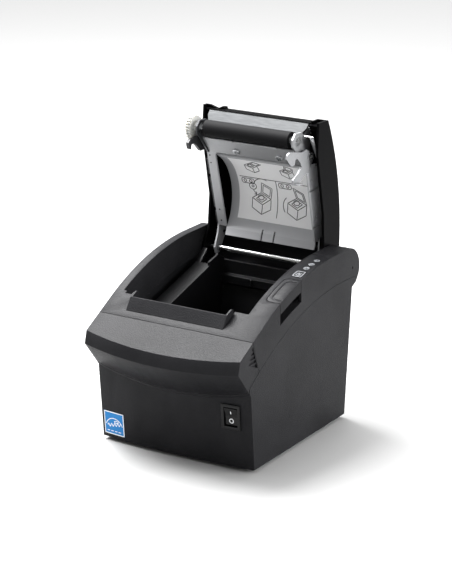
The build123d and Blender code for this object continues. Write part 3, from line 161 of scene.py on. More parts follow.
def finish(tree, output, shader):
    tree.links.new(shader.outputs[0], output.inputs["Surface"])


def moulded_plastic(name, tint, light_tint, roughness, grain_mm, grain_depth_mm, edge_mm, coat=0.0, shine=0.5):
    """Injection-moulded plastic: a pale and a dark tone, mould texture in the bump, soft edges."""
    made, tree, output = start_material(name)
    space = object_space(tree, (1, 1, 1))
    noise = {"Vector": space, "Scale": 1 / (grain_mm * MM), "Detail": 3.0, "Roughness": 0.6}
    grain = add_node(tree, "ShaderNodeTexNoise", noise)
    cloud = add_node(tree, "ShaderNodeTexNoise", {"Vector": space, "Scale": 22.0, "Detail": 4.0})
    tones = {0: cloud.outputs["Fac"], 6: rgba(tint), 7: rgba(light_tint)}
    tone = add_node(tree, "ShaderNodeMix", tones, data_type="RGBA")
    sheen = {0: grain.outputs["Fac"], 1: 0.3, 2: 0.7, 3: roughness - 0.06, 4: roughness + 0.08}
    gloss = add_node(tree, "ShaderNodeMapRange", sheen)
    edge = add_node(tree, "ShaderNodeBevel", {"Radius": edge_mm * MM}, samples=4)
    bump = add_node(
        tree,
        "ShaderNodeBump",
        {
            "Strength": 0.6,
            "Distance": grain_depth_mm * MM,
            "Height": grain.outputs["Fac"],
            "Normal": edge.outputs[0],
        },
    )
    shader = add_node(
        tree,
        "ShaderNodeBsdfPrincipled",
        {
            "Base Color": tone.outputs[2],
            "Roughness": gloss.outputs[0],
            "IOR": 1.52,
            "Specular IOR Level": shine,
            "Normal": bump.outputs[0],
            "Coat Weight": coat,
        },
    )
    finish(tree, output, shader)
    return made


def worked_metal(name, tint, roughness, scale_mm, depth_mm, metallic=1.0, anisotropy=0.0, edge_mm=0.15):
    """Metal with tool marks: noise stretched as scale_mm says, in millimetres per axis."""
    made, tree, output = start_material(name)
    space = object_space(tree, tuple(1 / (s * MM) for s in scale_mm))
    noise = {"Vector": space, "Scale": 1.0, "Detail": 5.0, "Roughness": 0.65}
    marks = add_node(tree, "ShaderNodeTexNoise", noise)
    sheen = {0: marks.outputs["Fac"], 1: 0.25, 2: 0.75, 3: roughness - 0.08, 4: roughness + 0.12}
    gloss = add_node(tree, "ShaderNodeMapRange", sheen)
    edge = add_node(tree, "ShaderNodeBevel", {"Radius": edge_mm * MM}, samples=4)
    bump = add_node(
        tree,
        "ShaderNodeBump",
        {"Strength": 0.5, "Distance": depth_mm * MM, "Height": marks.outputs["Fac"], "Normal": edge.outputs[0]},
    )
    shader = add_node(
        tree,
        "ShaderNodeBsdfPrincipled",
        {
            "Base Color": rgba(tint),
            "Metallic": metallic,
            "Roughness": gloss.outputs[0],
            "Normal": bump.outputs[0],
            "Anisotropic": anisotropy,
        },
    )
    finish(tree, output, shader)
    return made


def natural_acetal(name, tint):
    """Unfilled acetal: light sinks in a little, so thin teeth glow and edges look waxy."""
    made, tree, output = start_material(name)
    space = object_space(tree, (1, 1, 1))
    flow = add_node(tree, "ShaderNodeTexNoise", {"Vector": space, "Scale": 90.0, "Detail": 3.0})
    edge = add_node(tree, "ShaderNodeBevel", {"Radius": 0.2 * MM}, samples=4)
    relief = {"Strength": 0.2, "Distance": 0.02 * MM, "Height": flow.outputs["Fac"], "Normal": edge.outputs[0]}
    bump = add_node(tree, "ShaderNodeBump", relief)
    tones = {0: flow.outputs["Fac"], 6: rgba(tint), 7: rgba("cbcbc8")}
    tone = add_node(tree, "ShaderNodeMix", tones, data_type="RGBA")
    shader = add_node(
        tree,
        "ShaderNodeBsdfPrincipled",
        {
            "Base Color": tone.outputs[2],
            "Roughness": 0.42,
            "IOR": 1.48,
            "Subsurface Weight": 0.5,
            "Subsurface Radius": (1.0, 0.95, 0.85),
            "Subsurface Scale": 0.002,
            "Normal": bump.outputs[0],
        },
    )
    finish(tree, output, shader)
    return made


def printed_film(name, tint, roughness):
    """Printed polyester film: flat colour with a faint uneven sheen from its adhesive."""
    made, tree, output = start_material(name)
    space = object_space(tree, (1, 1, 1))
    waves = add_node(tree, "ShaderNodeTexNoise", {"Vector": space, "Scale": 120.0, "Detail": 2.0})
    sheen = {0: waves.outputs["Fac"], 1: 0.3, 2: 0.7, 3: roughness - 0.05, 4: roughness + 0.05}
    gloss = add_node(tree, "ShaderNodeMapRange", sheen)
    relief = {"Strength": 0.15, "Distance": 0.03 * MM, "Height": waves.outputs["Fac"]}
    bump = add_node(tree, "ShaderNodeBump", relief)
    shader = add_node(
        tree,
        "ShaderNodeBsdfPrincipled",
        {
            "Base Color": rgba(tint),
            "Roughness": gloss.outputs[0],
            "IOR": 1.57,
            "Specular IOR Level": 0.25,
            "Normal": bump.outputs[0],
        },
    )
    finish(tree, output, shader)
    return made


def moulded_rubber(name, tint, roughness, grain_mm):
    """Rubber: deep black, wide soft highlight, ground or moulded grain."""
    made, tree, output = start_material(name)
    space = object_space(tree, (1, 1, 1))
    noise = {"Vector": space, "Scale": 1 / (grain_mm * MM), "Detail": 4.0, "Roughness": 0.7}
    grain = add_node(tree, "ShaderNodeTexNoise", noise)
    relief = {"Strength": 0.35, "Distance": 0.03 * MM, "Height": grain.outputs["Fac"]}
    bump = add_node(tree, "ShaderNodeBump", relief)
    tones = {0: grain.outputs["Fac"], 6: rgba(tint), 7: rgba("141416")}
    tone = add_node(tree, "ShaderNodeMix", tones, data_type="RGBA")
    shader = add_node(
        tree,
        "ShaderNodeBsdfPrincipled",
        {
            "Base Color": tone.outputs[2],
            "Roughness": roughness,
            "IOR": 1.5,
            "Specular IOR Level": 0.1,
            "Normal": bump.outputs[0],
        },
    )
    finish(tree, output, shader)
    return made


def build_materials(case, metal):
    """Every finish of the printer, by the name used in FINISH_OF."""
    tone = case.plastic_tone
    return {
        # Charcoal ABS from a spark-eroded mould, drawn about four times coarser and much deeper than the
        # real grain so that it shows. Little gloss, so it stays dark where light grazes it.
        "textured_abs": moulded_plastic(
            "Charcoal ABS, spark-eroded", tone, "29292b", 0.4, case.grain * 1000, 0.5, 0.5, shine=0.06
        ),
        # The same ABS with a finer, shallower texture: reads a little smoother and darker.
        "fine_abs": moulded_plastic(
            "Charcoal ABS, fine texture", tone, "222224", 0.42, 0.7, 0.04, 0.15, shine=0.07
        ),
        # Plain black ABS out of a polished mould: nearly no grain and faint soft reflections.
        "smooth_abs": moulded_plastic(
            "Black ABS, smooth", "050506", "080809", 0.32, 0.5, 0.008, 0.5, shine=0.02
        ),
        # Satin black ABS of the bucket: its walls catch pale streaks.
        "bucket_abs": moulded_plastic(
            "Black ABS, satin", "0c0c0d", "131315", 0.34, 0.5, 0.01, 0.4, shine=0.16
        ),
        # Light grey ABS liner: even and matt.
        "grey_abs": moulded_plastic("Light grey ABS, matt", "a6a7aa", "b0b1b4", 0.46, 0.35, 0.012, 0.35),
        # Glass-filled nylon for small snaps and hooks: dull black.
        "black_nylon": moulded_plastic(
            "Black nylon, glass-filled", "232326", "2d2d30", 0.5, 0.25, 0.02, 0.25
        ),
        # Satin black ABS of the key strip.
        "strip_abs": moulded_plastic(
            "Satin black ABS strip", "141416", "1a1a1c", 0.36, 0.4, 0.006, 0.25, shine=0.15
        ),
        # Glossy black nylon of the rocker.
        "rocker_nylon": moulded_plastic(
            "Glossy black nylon", "050506", "08080a", 0.22, 0.5, 0.004, 0.35, shine=0.2
        ),
        # Smoked acrylic: nearly clear dark lens over a lamp that is off.
        "smoked_acrylic": moulded_plastic("Smoked acrylic", "3a3d40", "45494c", 0.15, 0.8, 0.002, 0.2, 0.5),
        # Black polyamide of sockets.
        "socket_nylon": moulded_plastic("Black socket nylon", "101012", "18181a", 0.42, 0.3, 0.01, 0.25),
        # Steel bar brushed along its length: long fine streaks.
        "brushed_steel": worked_metal(
            "Brushed steel", metal.bar_tone, 0.56, (9, 0.7, 0.7), 0.06, anisotropy=0.3
        ),
        # Zinc-plated sheet: grey, slightly cloudy.
        "zinc_steel": worked_metal("Zinc-plated steel", "97989a", 0.5, (1.2, 1.2, 1.2), 0.012),
        # Light grey sheet with a dull plated face.
        "grey_sheet": worked_metal(
            "Dull plated sheet", "97989a", 0.48, (2.0, 2.0, 2.0), 0.006, metallic=0.55
        ),
        # Ground and polished steel: crisp thin highlights.
        "ground_steel": worked_metal("Ground steel", "b4b5b5", 0.2, (0.3, 6, 6), 0.002),
        # Black oxide on sheet steel.
        "black_sheet": worked_metal(
            "Black oxide sheet", "3a3b3e", 0.45, (1.0, 1.0, 1.0), 0.008, metallic=0.4
        ),
        "hard_blade": worked_metal("Hardened blade steel", "e2e3e4", 0.22, (12, 0.3, 0.3), 0.004),
        "milled_aluminium": worked_metal("Milled aluminium", "c4c6c8", 0.35, (0.6, 8, 8), 0.01),
        "motor_can": worked_metal("Drawn steel can", "5d5f62", 0.4, (0.8, 0.8, 8), 0.008),
        "turned_brass": worked_metal("Turned brass", "c9a35a", 0.3, (0.3, 2, 2), 0.004),
        "tin_plate": worked_metal("Tin-plated shell", "c3c5c7", 0.28, (1.0, 1.0, 1.0), 0.004),
        "acetal": natural_acetal("Natural acetal", "bcbcb8"),
        "silver_film": printed_film("Silver instruction film", "f4f4f5", 0.42),
        "blue_film": printed_film("Blue label film", "0a78bd", 0.5),
        "platen_rubber": moulded_rubber("Ground platen rubber", "0a0a0b", 0.72, 0.25),
        "foot_rubber": moulded_rubber("Moulded rubber", "161617", 0.75, 0.5),
        "glazed_ceramic": moulded_plastic("Glazed ceramic", "cfcabb", "dcd8cb", 0.2, 0.6, 0.002, 0.2, 0.4),
        "solder_resist": moulded_plastic(
            "Green solder resist", "0d3d22", "12502d", 0.3, 1.2, 0.004, 0.1, 0.3
        ),
        "epoxy": moulded_plastic("Black epoxy moulding", "131314", "1b1b1c", 0.55, 0.3, 0.01, 0.2),
        "white_ink": printed_film("White ink", "eceeef", 0.5),
        "dark_ink": printed_film("Dark grey ink", "1c1d1f", 0.5),
        "pale_ink": printed_film("Pale grey ink", "85878a", 0.5),
    }


FINISH_OF = {
    "lower_case": "textured_abs",
    "top_case": "textured_abs",
    "front_cover": "textured_abs",
    "paper_guard": "textured_abs",
    "cover_button": "fine_abs",
    "base_plate": "fine_abs",
    "rubber_feet": "foot_rubber",
    "base_screws": "zinc_steel",
    "paper_bucket": "bucket_abs",
    "shaft_blocks": "black_nylon",
    "lid_shaft": "ground_steel",
    "control_strip": "strip_abs",
    "feed_button": "strip_abs",
    "status_lenses": "smoked_acrylic",
    "switch_housing": "rocker_nylon",
    "power_rocker": "rocker_nylon",
    "front_label": "blue_film",
    "mechanism_chassis": "black_sheet",
    "latch_studs": "ground_steel",
    "head_heatsink": "milled_aluminium",
    "print_head": "glazed_ceramic",
    "cutter_frame": "zinc_steel",
    "cutter_cover": "black_sheet",
    "cutter_blade": "hard_blade",
    "cutter_pinion": "acetal",
    "cutter_motor": "motor_can",
    "idler_gear": "acetal",
    "motor_pinion": "turned_brass",
    "feed_motor": "motor_can",
    "idler_stud": "ground_steel",
    "main_board": "solder_resist",
    "board_parts": "epoxy",
    "power_inlet": "socket_nylon",
    "drawer_jack": "socket_nylon",
    "usb_port": "tin_plate",
    "serial_port": "tin_plate",
    "port_nuts": "zinc_steel",
    "lid_shell": "smooth_abs",
    "lid_frame": "grey_abs",
    "side_channel": "smooth_abs",
    "paper_guide": "grey_abs",
    "lid_label": "silver_film",
    "cutter_bar": "brushed_steel",
    "fixed_blade": "hard_blade",
    "platen_roller": "platen_rubber",
    "platen_shaft": "ground_steel",
    "platen_gear": "acetal",
    "bracket_left": "black_sheet",
    "bracket_right": "zinc_steel",
    "platen_bearings": "tin_plate",
    "cross_plate": "grey_sheet",
    "lid_screws": "tin_plate",
    "latch_hook_right": "zinc_steel",
    "latch_hook_left": "black_nylon",
    "latch_axle": "ground_steel",
    "latch_spring": "zinc_steel",
    "spring_pins": "ground_steel",
    "hinge_arm_left": "grey_abs",
    "hinge_arm_right": "zinc_steel",
    "side_clips": "black_nylon",
}

MATERIALS = {}


# ---------------------------------------------------------------- making pieces


def new_piece(name, mesh, body, finish_name):
    """Puts a finished mesh in the scene, riding on a body, with its material."""
    piece = bpy.data.objects.new(name, mesh)
    bpy.context.scene.collection.objects.link(piece)
    mesh.materials.clear()
    mesh.materials.append(MATERIALS[finish_name])
    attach(piece, body)
    return piece


def rounded_copy(node, width_mm, join_flats=True):
    """A copy of a CAD node with real radii on its sharp edges, standing for that node."""
    source = frame["nodes"][node]
    work = bmesh.new()
    work.from_mesh(source.data)
    bmesh.ops.remove_doubles(work, verts=work.verts, dist=2e-6)
    if join_flats:
        bmesh.ops.dissolve_limit(work, angle_limit=math.radians(0.6), verts=work.verts, edges=work.edges)
    mesh = bpy.data.meshes.new(node + "_rounded")
    work.to_mesh(mesh)
    work.free()
    copy = bpy.data.objects.new(node + "_work", mesh)
    bpy.context.scene.collection.objects.link(copy)
    bevel = copy.modifiers.new("Edge radius", "BEVEL")
    bevel.width = width_mm * MM
    bevel.segments = 2
    bevel.limit_method = "ANGLE"
    bevel.angle_limit = math.radians(32)
    bevel.use_clamp_overlap = True
    bevel.harden_normals = True
    bevel.miter_outer = "MITER_ARC"
    baked = bpy.data.meshes.new_from_object(copy.evaluated_get(bpy.context.evaluated_depsgraph_get()))
    bpy.data.objects.remove(copy)
    piece = new_piece(node + "_moulding", baked, BODY_OF[node], FINISH_OF[node])
    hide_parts(node)
    return piece


def ribbon_faces(work, points, width, height, place, closed):
    """Adds one drawn line: a closed strip of small prisms that follows a surface."""
    count = len(points)
    rails = []
    for i, (u, v) in enumerate(points):
        before = points[i - 1] if closed or i else points[i]
        after = points[(i + 1) % count] if closed or i < count - 1 else points[i]
        du, dv = after[0] - before[0], after[1] - before[1]
        run = math.hypot(du, dv) or 1.0
        nu, nv = -dv / run * width / 2, du / run * width / 2
        corners = ((u + nu, v + nv, height), (u - nu, v - nv, height), (u - nu, v - nv, 0), (u + nu, v + nv, 0))
        rails.append([work.verts.new(place(*c)) for c in corners])
    last = count if closed else count - 1
    for i in range(last):
        a, b = rails[i], rails[(i + 1) % count]
        for j in range(4):
            k = (j + 1) % 4
            work.faces.new((a[j], b[j], b[k], a[k]))
    if not closed:
        work.faces.new(rails[0])
        work.faces.new(list(reversed(rails[-1])))


def finely(points, closed, longest=1.5):
    """The same line with points no further apart than longest, so it can bend with its surface."""
    fine = []
    ends = points[1:] + (points[:1] if closed else [])
    for (u0, v0), (u1, v1) in zip(points, ends):
        parts = max(1, math.ceil(math.hypot(u1 - u0, v1 - v0) / longest))
        fine += [(u0 + (u1 - u0) * i / parts, v0 + (v1 - v0) * i / parts) for i in range(parts)]
    return fine if closed else fine + [points[-1]]


def drawn_piece(name, lines, width, height, place, body, finish_name):
    """A piece made of drawn lines, which are (points, closed) pairs in millimetres."""
    work = bmesh.new()
    for points, closed in lines:
        ribbon_faces(work, finely(points, closed), width, height, place, closed)
    bmesh.ops.recalc_face_normals(work, faces=work.faces)
    mesh = bpy.data.meshes.new(name)
    work.to_mesh(mesh)
    work.free()
    return new_piece(name, mesh, body, finish_name)


def arc_points(cu, cv, r, start, end, steps=14):
    """Points on an arc, angles in degrees."""
    angles = [math.radians(start + (end - start) * i / steps) for i in range(steps + 1)]
    return [(cu + r * math.cos(a), cv + r * math.sin(a)) for a in angles]


def ring_points(cu, cv, r, squash=1.0, steps=18):
    angles = [2 * math.pi * i / steps for i in range(steps)]
    return [(cu + r * math.cos(a), cv + r * squash * math.sin(a)) for a in angles]


def round_rect(u0, v0, u1, v1, r, steps=4):
    """Closed outline of a rectangle with rounded corners."""
    corners = ((u1 - r, v1 - r, 0), (u0 + r, v1 - r, 90), (u0 + r, v0 + r, 180), (u1 - r, v0 + r, 270))
    points = []
    for cu, cv, start in corners:
        points += arc_points(cu, cv, r, start, start + 90, steps)
    return points


# ---------------------------------------------------------------- geometry node trees


def group_input(tree, name, kind, default):
    """Adds a named input to a tree and returns its identifier."""
    socket = tree.interface.new_socket(name=name, in_out="INPUT", socket_type=kind)
    socket.default_value = default
    return socket.identifier


def start_tree(name):
    """A new geometry node tree whose output is one geometry."""
    tree = bpy.data.node_groups.new(name, "GeometryNodeTree")
    tree.interface.new_socket(name="Geometry", in_out="OUTPUT", socket_type="NodeSocketGeometry")
    return tree


def run_tree(tree, values, name, body, finish_name, move=None):
    """Runs a tree on an empty mesh with its inputs set, and keeps the result as a plain piece."""
    host = bpy.data.objects.new(name + "_host", bpy.data.meshes.new(name + "_host"))
    bpy.context.scene.collection.objects.link(host)
    modifier = host.modifiers.new(name, "NODES")
    modifier.node_group = tree
    for identifier, value in values.items():
        modifier[identifier] = value
    baked = bpy.data.meshes.new_from_object(host.evaluated_get(bpy.context.evaluated_depsgraph_get()))
    host.modifiers.remove(modifier)
    bpy.data.objects.remove(host)
    if len(baked.vertices) == 0:
        raise RuntimeError(f"{name} came out empty")
    if move is not None:
        baked.transform(move)
    return new_piece(name, baked, body, finish_name)


def close_tree(tree, geometry, material):
    """Ends a tree in Realize Instances and Set Material."""
    real = add_node(tree, "GeometryNodeRealizeInstances", {0: geometry})
    painted = add_node(tree, "GeometryNodeSetMaterial", {0: real.outputs[0], "Material": material})
    output = tree.nodes.new("NodeGroupOutput")
    tree.links.new(painted.outputs[0], output.inputs[0])


def row_tree(name, shape, material):
    """Repeats a small shape in a straight row. Inputs: Count, Start, Step, Size, Turn."""
    tree = start_tree(name)
    ids = {
        "count": group_input(tree, "Count", "NodeSocketInt", 4),
        "start": group_input(tree, "Start", "NodeSocketVector", (0, 0, 0)),
        "step": group_input(tree, "Step", "NodeSocketVector", (0.01, 0, 0)),
        "size": group_input(tree, "Size", "NodeSocketVector", (0.001, 0.001, 0.001)),
        "turn": group_input(tree, "Turn", "NodeSocketVector", (0, 0, 0)),
    }
    source = tree.nodes.new("NodeGroupInput")
    given = source.outputs
    row = {"Count": given["Count"], "Start Location": given["Start"], "Offset": given["Step"]}
    line = add_node(tree, "GeometryNodeMeshLine", row)
    if shape == "pin":
        small = add_node(tree, "GeometryNodeMeshCylinder", {"Vertices": 20, "Radius": 0.5, "Depth": 1.0})
    else:
        small = add_node(tree, "GeometryNodeMeshCube", {"Size": (1, 1, 1)})
    turn = add_node(tree, "FunctionNodeEulerToRotation", {0: given["Turn"]})
    spread = add_node(
        tree,
        "GeometryNodeInstanceOnPoints",
        {
            "Points": line.outputs[0],
            "Instance": small.outputs[0],
            "Rotation": turn.outputs[0],
            "Scale": given["Size"],
        },
    )
    close_tree(tree, spread.outputs[0], material)
    return tree, ids


def coil_tree(material):
    """A wound spring along Z. Inputs: Turns, Coil radius, Wire radius, Length."""
    tree = start_tree("Coil spring")
    ids = {
        "turns": group_input(tree, "Turns", "NodeSocketFloat", 20.0),
        "radius": group_input(tree, "Coil radius", "NodeSocketFloat", 0.0014),
        "wire": group_input(tree, "Wire radius", "NodeSocketFloat", 0.0002),
        "length": group_input(tree, "Length", "NodeSocketFloat", 0.02),
    }
    source = tree.nodes.new("NodeGroupInput")
    spiral = add_node(
        tree,
        "GeometryNodeCurveSpiral",
        {
            "Resolution": 20,
            "Rotations": source.outputs["Turns"],
            "Start Radius": source.outputs["Coil radius"],
            "End Radius": source.outputs["Coil radius"],
            "Height": source.outputs["Length"],
        },
    )
    section = {"Resolution": 8, "Radius": source.outputs["Wire radius"]}
    wire = add_node(tree, "GeometryNodeCurvePrimitiveCircle", section)
    sweep = {"Curve": spiral.outputs[0], "Profile Curve": wire.outputs[0], "Fill Caps": True}
    coil = add_node(tree, "GeometryNodeCurveToMesh", sweep)
    close_tree(tree, coil.outputs[0], material)
    return tree, ids


# ---------------------------------------------------------------- places on the printer


def on_deck(lift):
    """A drawing on the curved top: x across, y along, in millimetres."""
    return lambda u, v, h: Vector((u, v, top_z(v) + lift + h)) * MM


def on_panel(lift):
    """A drawing on the front panel: x across, z up."""
    return lambda u, v, h: Vector((u, panel_y(u, v) - lift - h, v)) * MM


def on_guide(lift):
    """A drawing on the concave guide: x across, distance down the sheet from the label's top edge."""
    centre, r = circle_through(*GUIDE_ARC)
    first = math.atan2(LABEL_TOP[1] - centre[1], LABEL_TOP[0] - centre[0])

    def place(u, v, h):
        a = first - v / r
        reach = r - 0.22 - lift - h
        return opened(u, centre[0] + reach * math.cos(a), centre[1] + reach * math.sin(a))

    return place


def on_rocker(u, v, h):
    """A drawing on the rocker's face: x across, z up from its middle."""
    lean = math.asin((FRONT_FOOT[0] - FRONT_HEAD[0]) / (FRONT_HEAD[1] - FRONT_FOOT[1]))
    turn = 2 * FRONT_BOW * SWITCH_X / HALF_WIDTH**2
    face = -ROCKER_MIDDLE - ROCKER_DIP * abs(v) / ROCKER_HALF_HEIGHT - 0.06 - h
    local = Matrix.Rotation(ROCKER_TILT, 4, "X") @ Vector((u, face, v))
    local.y += ROCKER_LIFT
    local = Matrix.Rotation(turn, 4, "Z") @ (Matrix.Rotation(lean, 4, "X") @ local)
    return (local + Vector((SWITCH_X, panel_y(SWITCH_X, SWITCH_Z), SWITCH_Z))) * MM


# ---------------------------------------------------------------- settings


def hex_tone(name, description, default):
    return bpy.props.StringProperty(name=name, description=description, default=default)


def length(name, description, default):
    """A length setting in metres."""
    return bpy.props.FloatProperty(
        name=name, description=description, default=default, unit="LENGTH", subtype="DISTANCE"
    )


def power(name, description, default):
    """A lamp's power setting in watts."""
    return bpy.props.FloatProperty(name=name, description=description, default=default, unit="POWER")


class CaseSettings(bpy.types.PropertyGroup):
    """Sizes and tone of the case mouldings."""

    plastic_tone: hex_tone("Plastic tone", "Case colour as an sRGB hex value", "101012")
    grain: length("Grain", "Size of the mould texture", 0.0011)
    edge: length("Edge radius", "Radius of the outer edges of the case", 0.0008)


class MetalSettings(bpy.types.PropertyGroup):
    """Tones of the metal parts."""

    bar_tone: hex_tone("Bar tone", "Cutter bar colour as an sRGB hex value", "454647")


class LabelSettings(bpy.types.PropertyGroup):
    """Sizes of the printed lines."""

    line: length("Line width", "Width of the lines on the instruction label", 0.00065)
    ink: length("Ink height", "How far the lines printed on the two labels stand proud", 0.00004)


class SpringSettings(bpy.types.PropertyGroup):
    """Sizes of the latch spring."""

    coil: length("Coil radius", "Radius of the coil at the middle of the wire", 0.00125)
    wire: length("Wire radius", "Half the wire's thickness", 0.00024)
    turns: bpy.props.FloatProperty(name="Turns", description="Number of turns", default=44.0)


class StageSettings(bpy.types.PropertyGroup):
    """Floor and light."""

    floor_tone: hex_tone("Floor tone", "Floor colour as an sRGB hex value", "a0a0a0")
    sky: bpy.props.FloatProperty(name="Room light", description="Strength of the even room light", default=0.55)
    sun: bpy.props.FloatProperty(name="Top light", description="Strength of the wide top light", default=4.6)
    key_power: power("Key light", "Power of the softbox overhead", 60.0)
    fill_power: power("Fill light", "Power of the right-hand fill", 24.0)


# ---------------------------------------------------------------- operators


class PRINTER_OT_finishes(bpy.types.Operator):
    """Make every finish and give each designed part its own."""

    bl_idname = "printer.finishes"
    bl_label = "Finishes"

    def execute(self, context):
        MATERIALS.update(build_materials(context.scene.printer_case, context.scene.printer_metal))
        for node, source in frame["nodes"].items():
            for held in source.material_slots:
                held.material = MATERIALS[FINISH_OF[node]]
        return {"FINISHED"}


class PRINTER_OT_mouldings(bpy.types.Operator):
    """Give the mouldings their edge radii."""

    bl_idname = "printer.mouldings"
    bl_label = "Mouldings"

    def execute(self, context):
        radius = context.scene.printer_case.edge * 1000
        for node, width in (
            ("lower_case", radius),
            ("top_case", radius),
            ("front_cover", radius),
            ("paper_guard", 0.35),
            ("cover_button", 0.4),
            ("lid_shell", 0.6),
            ("paper_bucket", 0.4),
        ):
            rounded_copy(node, width)
        # The rim of the switch housing is a flat ring, and joining its triangles would close the middle.
        rounded_copy("switch_housing", 0.3, join_flats=False)
        return {"FINISHED"}


class PRINTER_OT_front_label(bpy.types.Operator):
    """Draw the plain design of the square label."""

    bl_idname = "printer.front_label"
    bl_label = "Front label"

    def execute(self, context):
        ink = context.scene.printer_label.ink * 1000
        place = on_panel(0.17)
        border = [([(-69.8, 6.6), (-50.2, 6.6), (-50.2, 25.8), (-69.8, 25.8)], True)]
        drawn_piece("label_border", border, 0.8, ink, place, "housing", "white_ink")
        arc = [(arc_points(-60.0, 11.6, 9.0, 20, 160, 24), False)]
        wave = [(-66.8 + 13.6 * i / 48, 13.8 + 1.3 * math.sin(i * 0.55) + 0.05 * i) for i in range(49)]
        leaf = ring_points(-57.6, 17.8, 2.1, 0.42, 18)
        dashes = [([(-67.6 + 3.9 * i, 9.2), (-65.0 + 3.9 * i, 9.2)], False) for i in range(4)]
        arc += [(wave, False), (leaf, True), *dashes]
        drawn_piece("label_design", arc, 0.6, ink, place, "housing", "white_ink")
        return {"FINISHED"}


class PRINTER_OT_rocker_marks(bpy.types.Operator):
    """Paint the on and off marks of the power rocker."""

    bl_idname = "printer.rocker_marks"
    bl_label = "Rocker marks"

    def execute(self, context):
        lines = [([(0, 2.4), (0, 5.0)], False), (ring_points(0, -3.7, 1.7), True)]
        drawn_piece("rocker_marks", lines, 0.62, 0.05, on_rocker, "power_rocker", "white_ink")
        return {"FINISHED"}


class PRINTER_OT_key_icons(bpy.types.Operator):
    """Print the icons of the feed key and the three lamps."""

    bl_idname = "printer.key_icons"
    bl_label = "Key icons"

    def execute(self, context):
        x = KEY_X
        frame_line = round_rect(x - 3.7, 7.2, x + 3.7, 15.6, 0.9)
        zigzag = [(x - 2.0, 10.2), (x - 0.4, 13.4), (x + 0.4, 9.8), (x + 2.0, 12.8)]
        lines = [(frame_line, True), (zigzag, False), (arc_points(x, 11.4, 2.5, 200, 340, 8), False)]
        drawn_piece("feed_key_icon", lines, 0.6, 0.04, on_deck(0.36), "feed_button", "pale_ink")
        marks = []
        for i, y in enumerate(LAMP_YS):
            marks.append((ring_points(x, y, 2.3, 0.85, 20), True))
            marks.append(([(x - 1.1, y - 0.9 + 0.5 * i), (x + 1.1, y + 0.9 - 0.5 * i)], False))
            marks.append((arc_points(x, y, 1.3, 20 + 40 * i, 200 + 40 * i, 6), False))
        drawn_piece("lamp_icons", marks, 0.46, 0.04, on_deck(0.01), "housing", "pale_ink")
        return {"FINISHED"}


def printer_sketch(cu, cv, size, lid_angle):
    """Line drawing of a small printer with its lid up and a roll beside it."""
    front = [(-5, 1), (1, 4), (1, 9), (-5, 6)]
    side = [(1, 4), (6, 0.5), (6, 6), (1, 9)]
    top = [(-5, 1), (0.2, -2.2), (6, 0.5), (1, 4)]
    well = [(-2.8, 1.1), (0.4, -1.0), (3.6, 0.6), (0.6, 2.8)]
    dx, dy = 6 * math.cos(lid_angle), -6 * math.sin(lid_angle)
    lid = [(0.2, -2.2), (0.2 + dx, -2.2 + dy), (6 + dx, 0.5 + dy), (6, 0.5)]
    inner = [(u * 0.7 + (3.1 + dx / 2) * 0.3, v * 0.7 + (-0.9 + dy / 2) * 0.3) for u, v in lid]
    roll = ring_points(0.2, 0.2, 1.7, 0.8, 16)
    shapes = (front, side, top, well, lid, inner, roll)
    return [([(cu + u * size, cv + v * size) for u, v in shape], True) for shape in shapes]


class PRINTER_OT_instruction_label(bpy.types.Operator):
    """Print the loading pictures of the lid label, with no words."""

    bl_idname = "printer.instruction_label"
    bl_label = "Instruction label"

    def execute(self, context):
        settings = context.scene.printer_label
        place = on_guide(0.02)
        lines = [
            ([(-35.5, 24.5), (34.0, 24.5)], False),
            ([(-0.5, 24.5), (-0.5, 58.0)], False),
            (round_rect(-34.0, 26.0, -22.0, 30.8, 1.6), True),
            (round_rect(2.0, 26.0, 14.0, 30.8, 1.6), True),
            (ring_points(-30.8, 28.4, 1.3), True),
            (ring_points(-25.4, 28.4, 1.3), True),
            (ring_points(5.2, 28.4, 1.3), True),
            (ring_points(10.6, 28.4, 1.3), True),
            (arc_points(-14.0, 34.0, 9.5, 205, 300, 12), False),
            (arc_points(14.0, 46.0, 9.0, 140, 230, 12), False),
        ]
        lines += printer_sketch(-20.0, 8.0, 1.15, math.radians(35))
        lines += printer_sketch(14.0, 9.0, 1.15, math.radians(70))
        lines += printer_sketch(-17.0, 42.0, 1.65, math.radians(80))
        lines += printer_sketch(17.5, 42.0, 1.65, math.radians(105))
        roll = [(ring_points(-24.0, 33.0, 3.4, 0.9), True), (ring_points(-24.0, 33.0, 1.1, 0.9, 12), True)]
        arrow_shaft = ([(-24.0, 36.6), (-21.0, 40.4)], False)
        arrow_head = ([(-23.2, 40.2), (-21.0, 40.4), (-21.2, 38.0)], False)
        lines += [*roll, arrow_shaft, arrow_head]
        width, ink = settings.line * 1000, settings.ink * 1000
        drawn_piece("label_pictures", lines, width, ink, place, "lid", "dark_ink")
        return {"FINISHED"}


class PRINTER_OT_latch_spring(bpy.types.Operator):
    """Wind the latch spring as a real coil between its two pins."""

    bl_idname = "printer.latch_spring"
    bl_label = "Latch spring"

    def execute(self, context):
        settings = context.scene.printer_spring
        tree, ids = coil_tree(MATERIALS["zinc_steel"])
        low, high = opened(*SPRING_LOW), opened(*SPRING_HIGH)
        run = high - low
        values = {
            ids["turns"]: settings.turns,
            ids["radius"]: settings.coil,
            ids["wire"]: settings.wire,
            ids["length"]: run.length,
        }
        move = Matrix.Translation(low) @ run.to_track_quat("Z", "Y").to_matrix().to_4x4()
        coil = run_tree(tree, values, "latch_spring_coil", "lid", "zinc_steel", move)
        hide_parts("latch_spring")
        return {"FINISHED"}


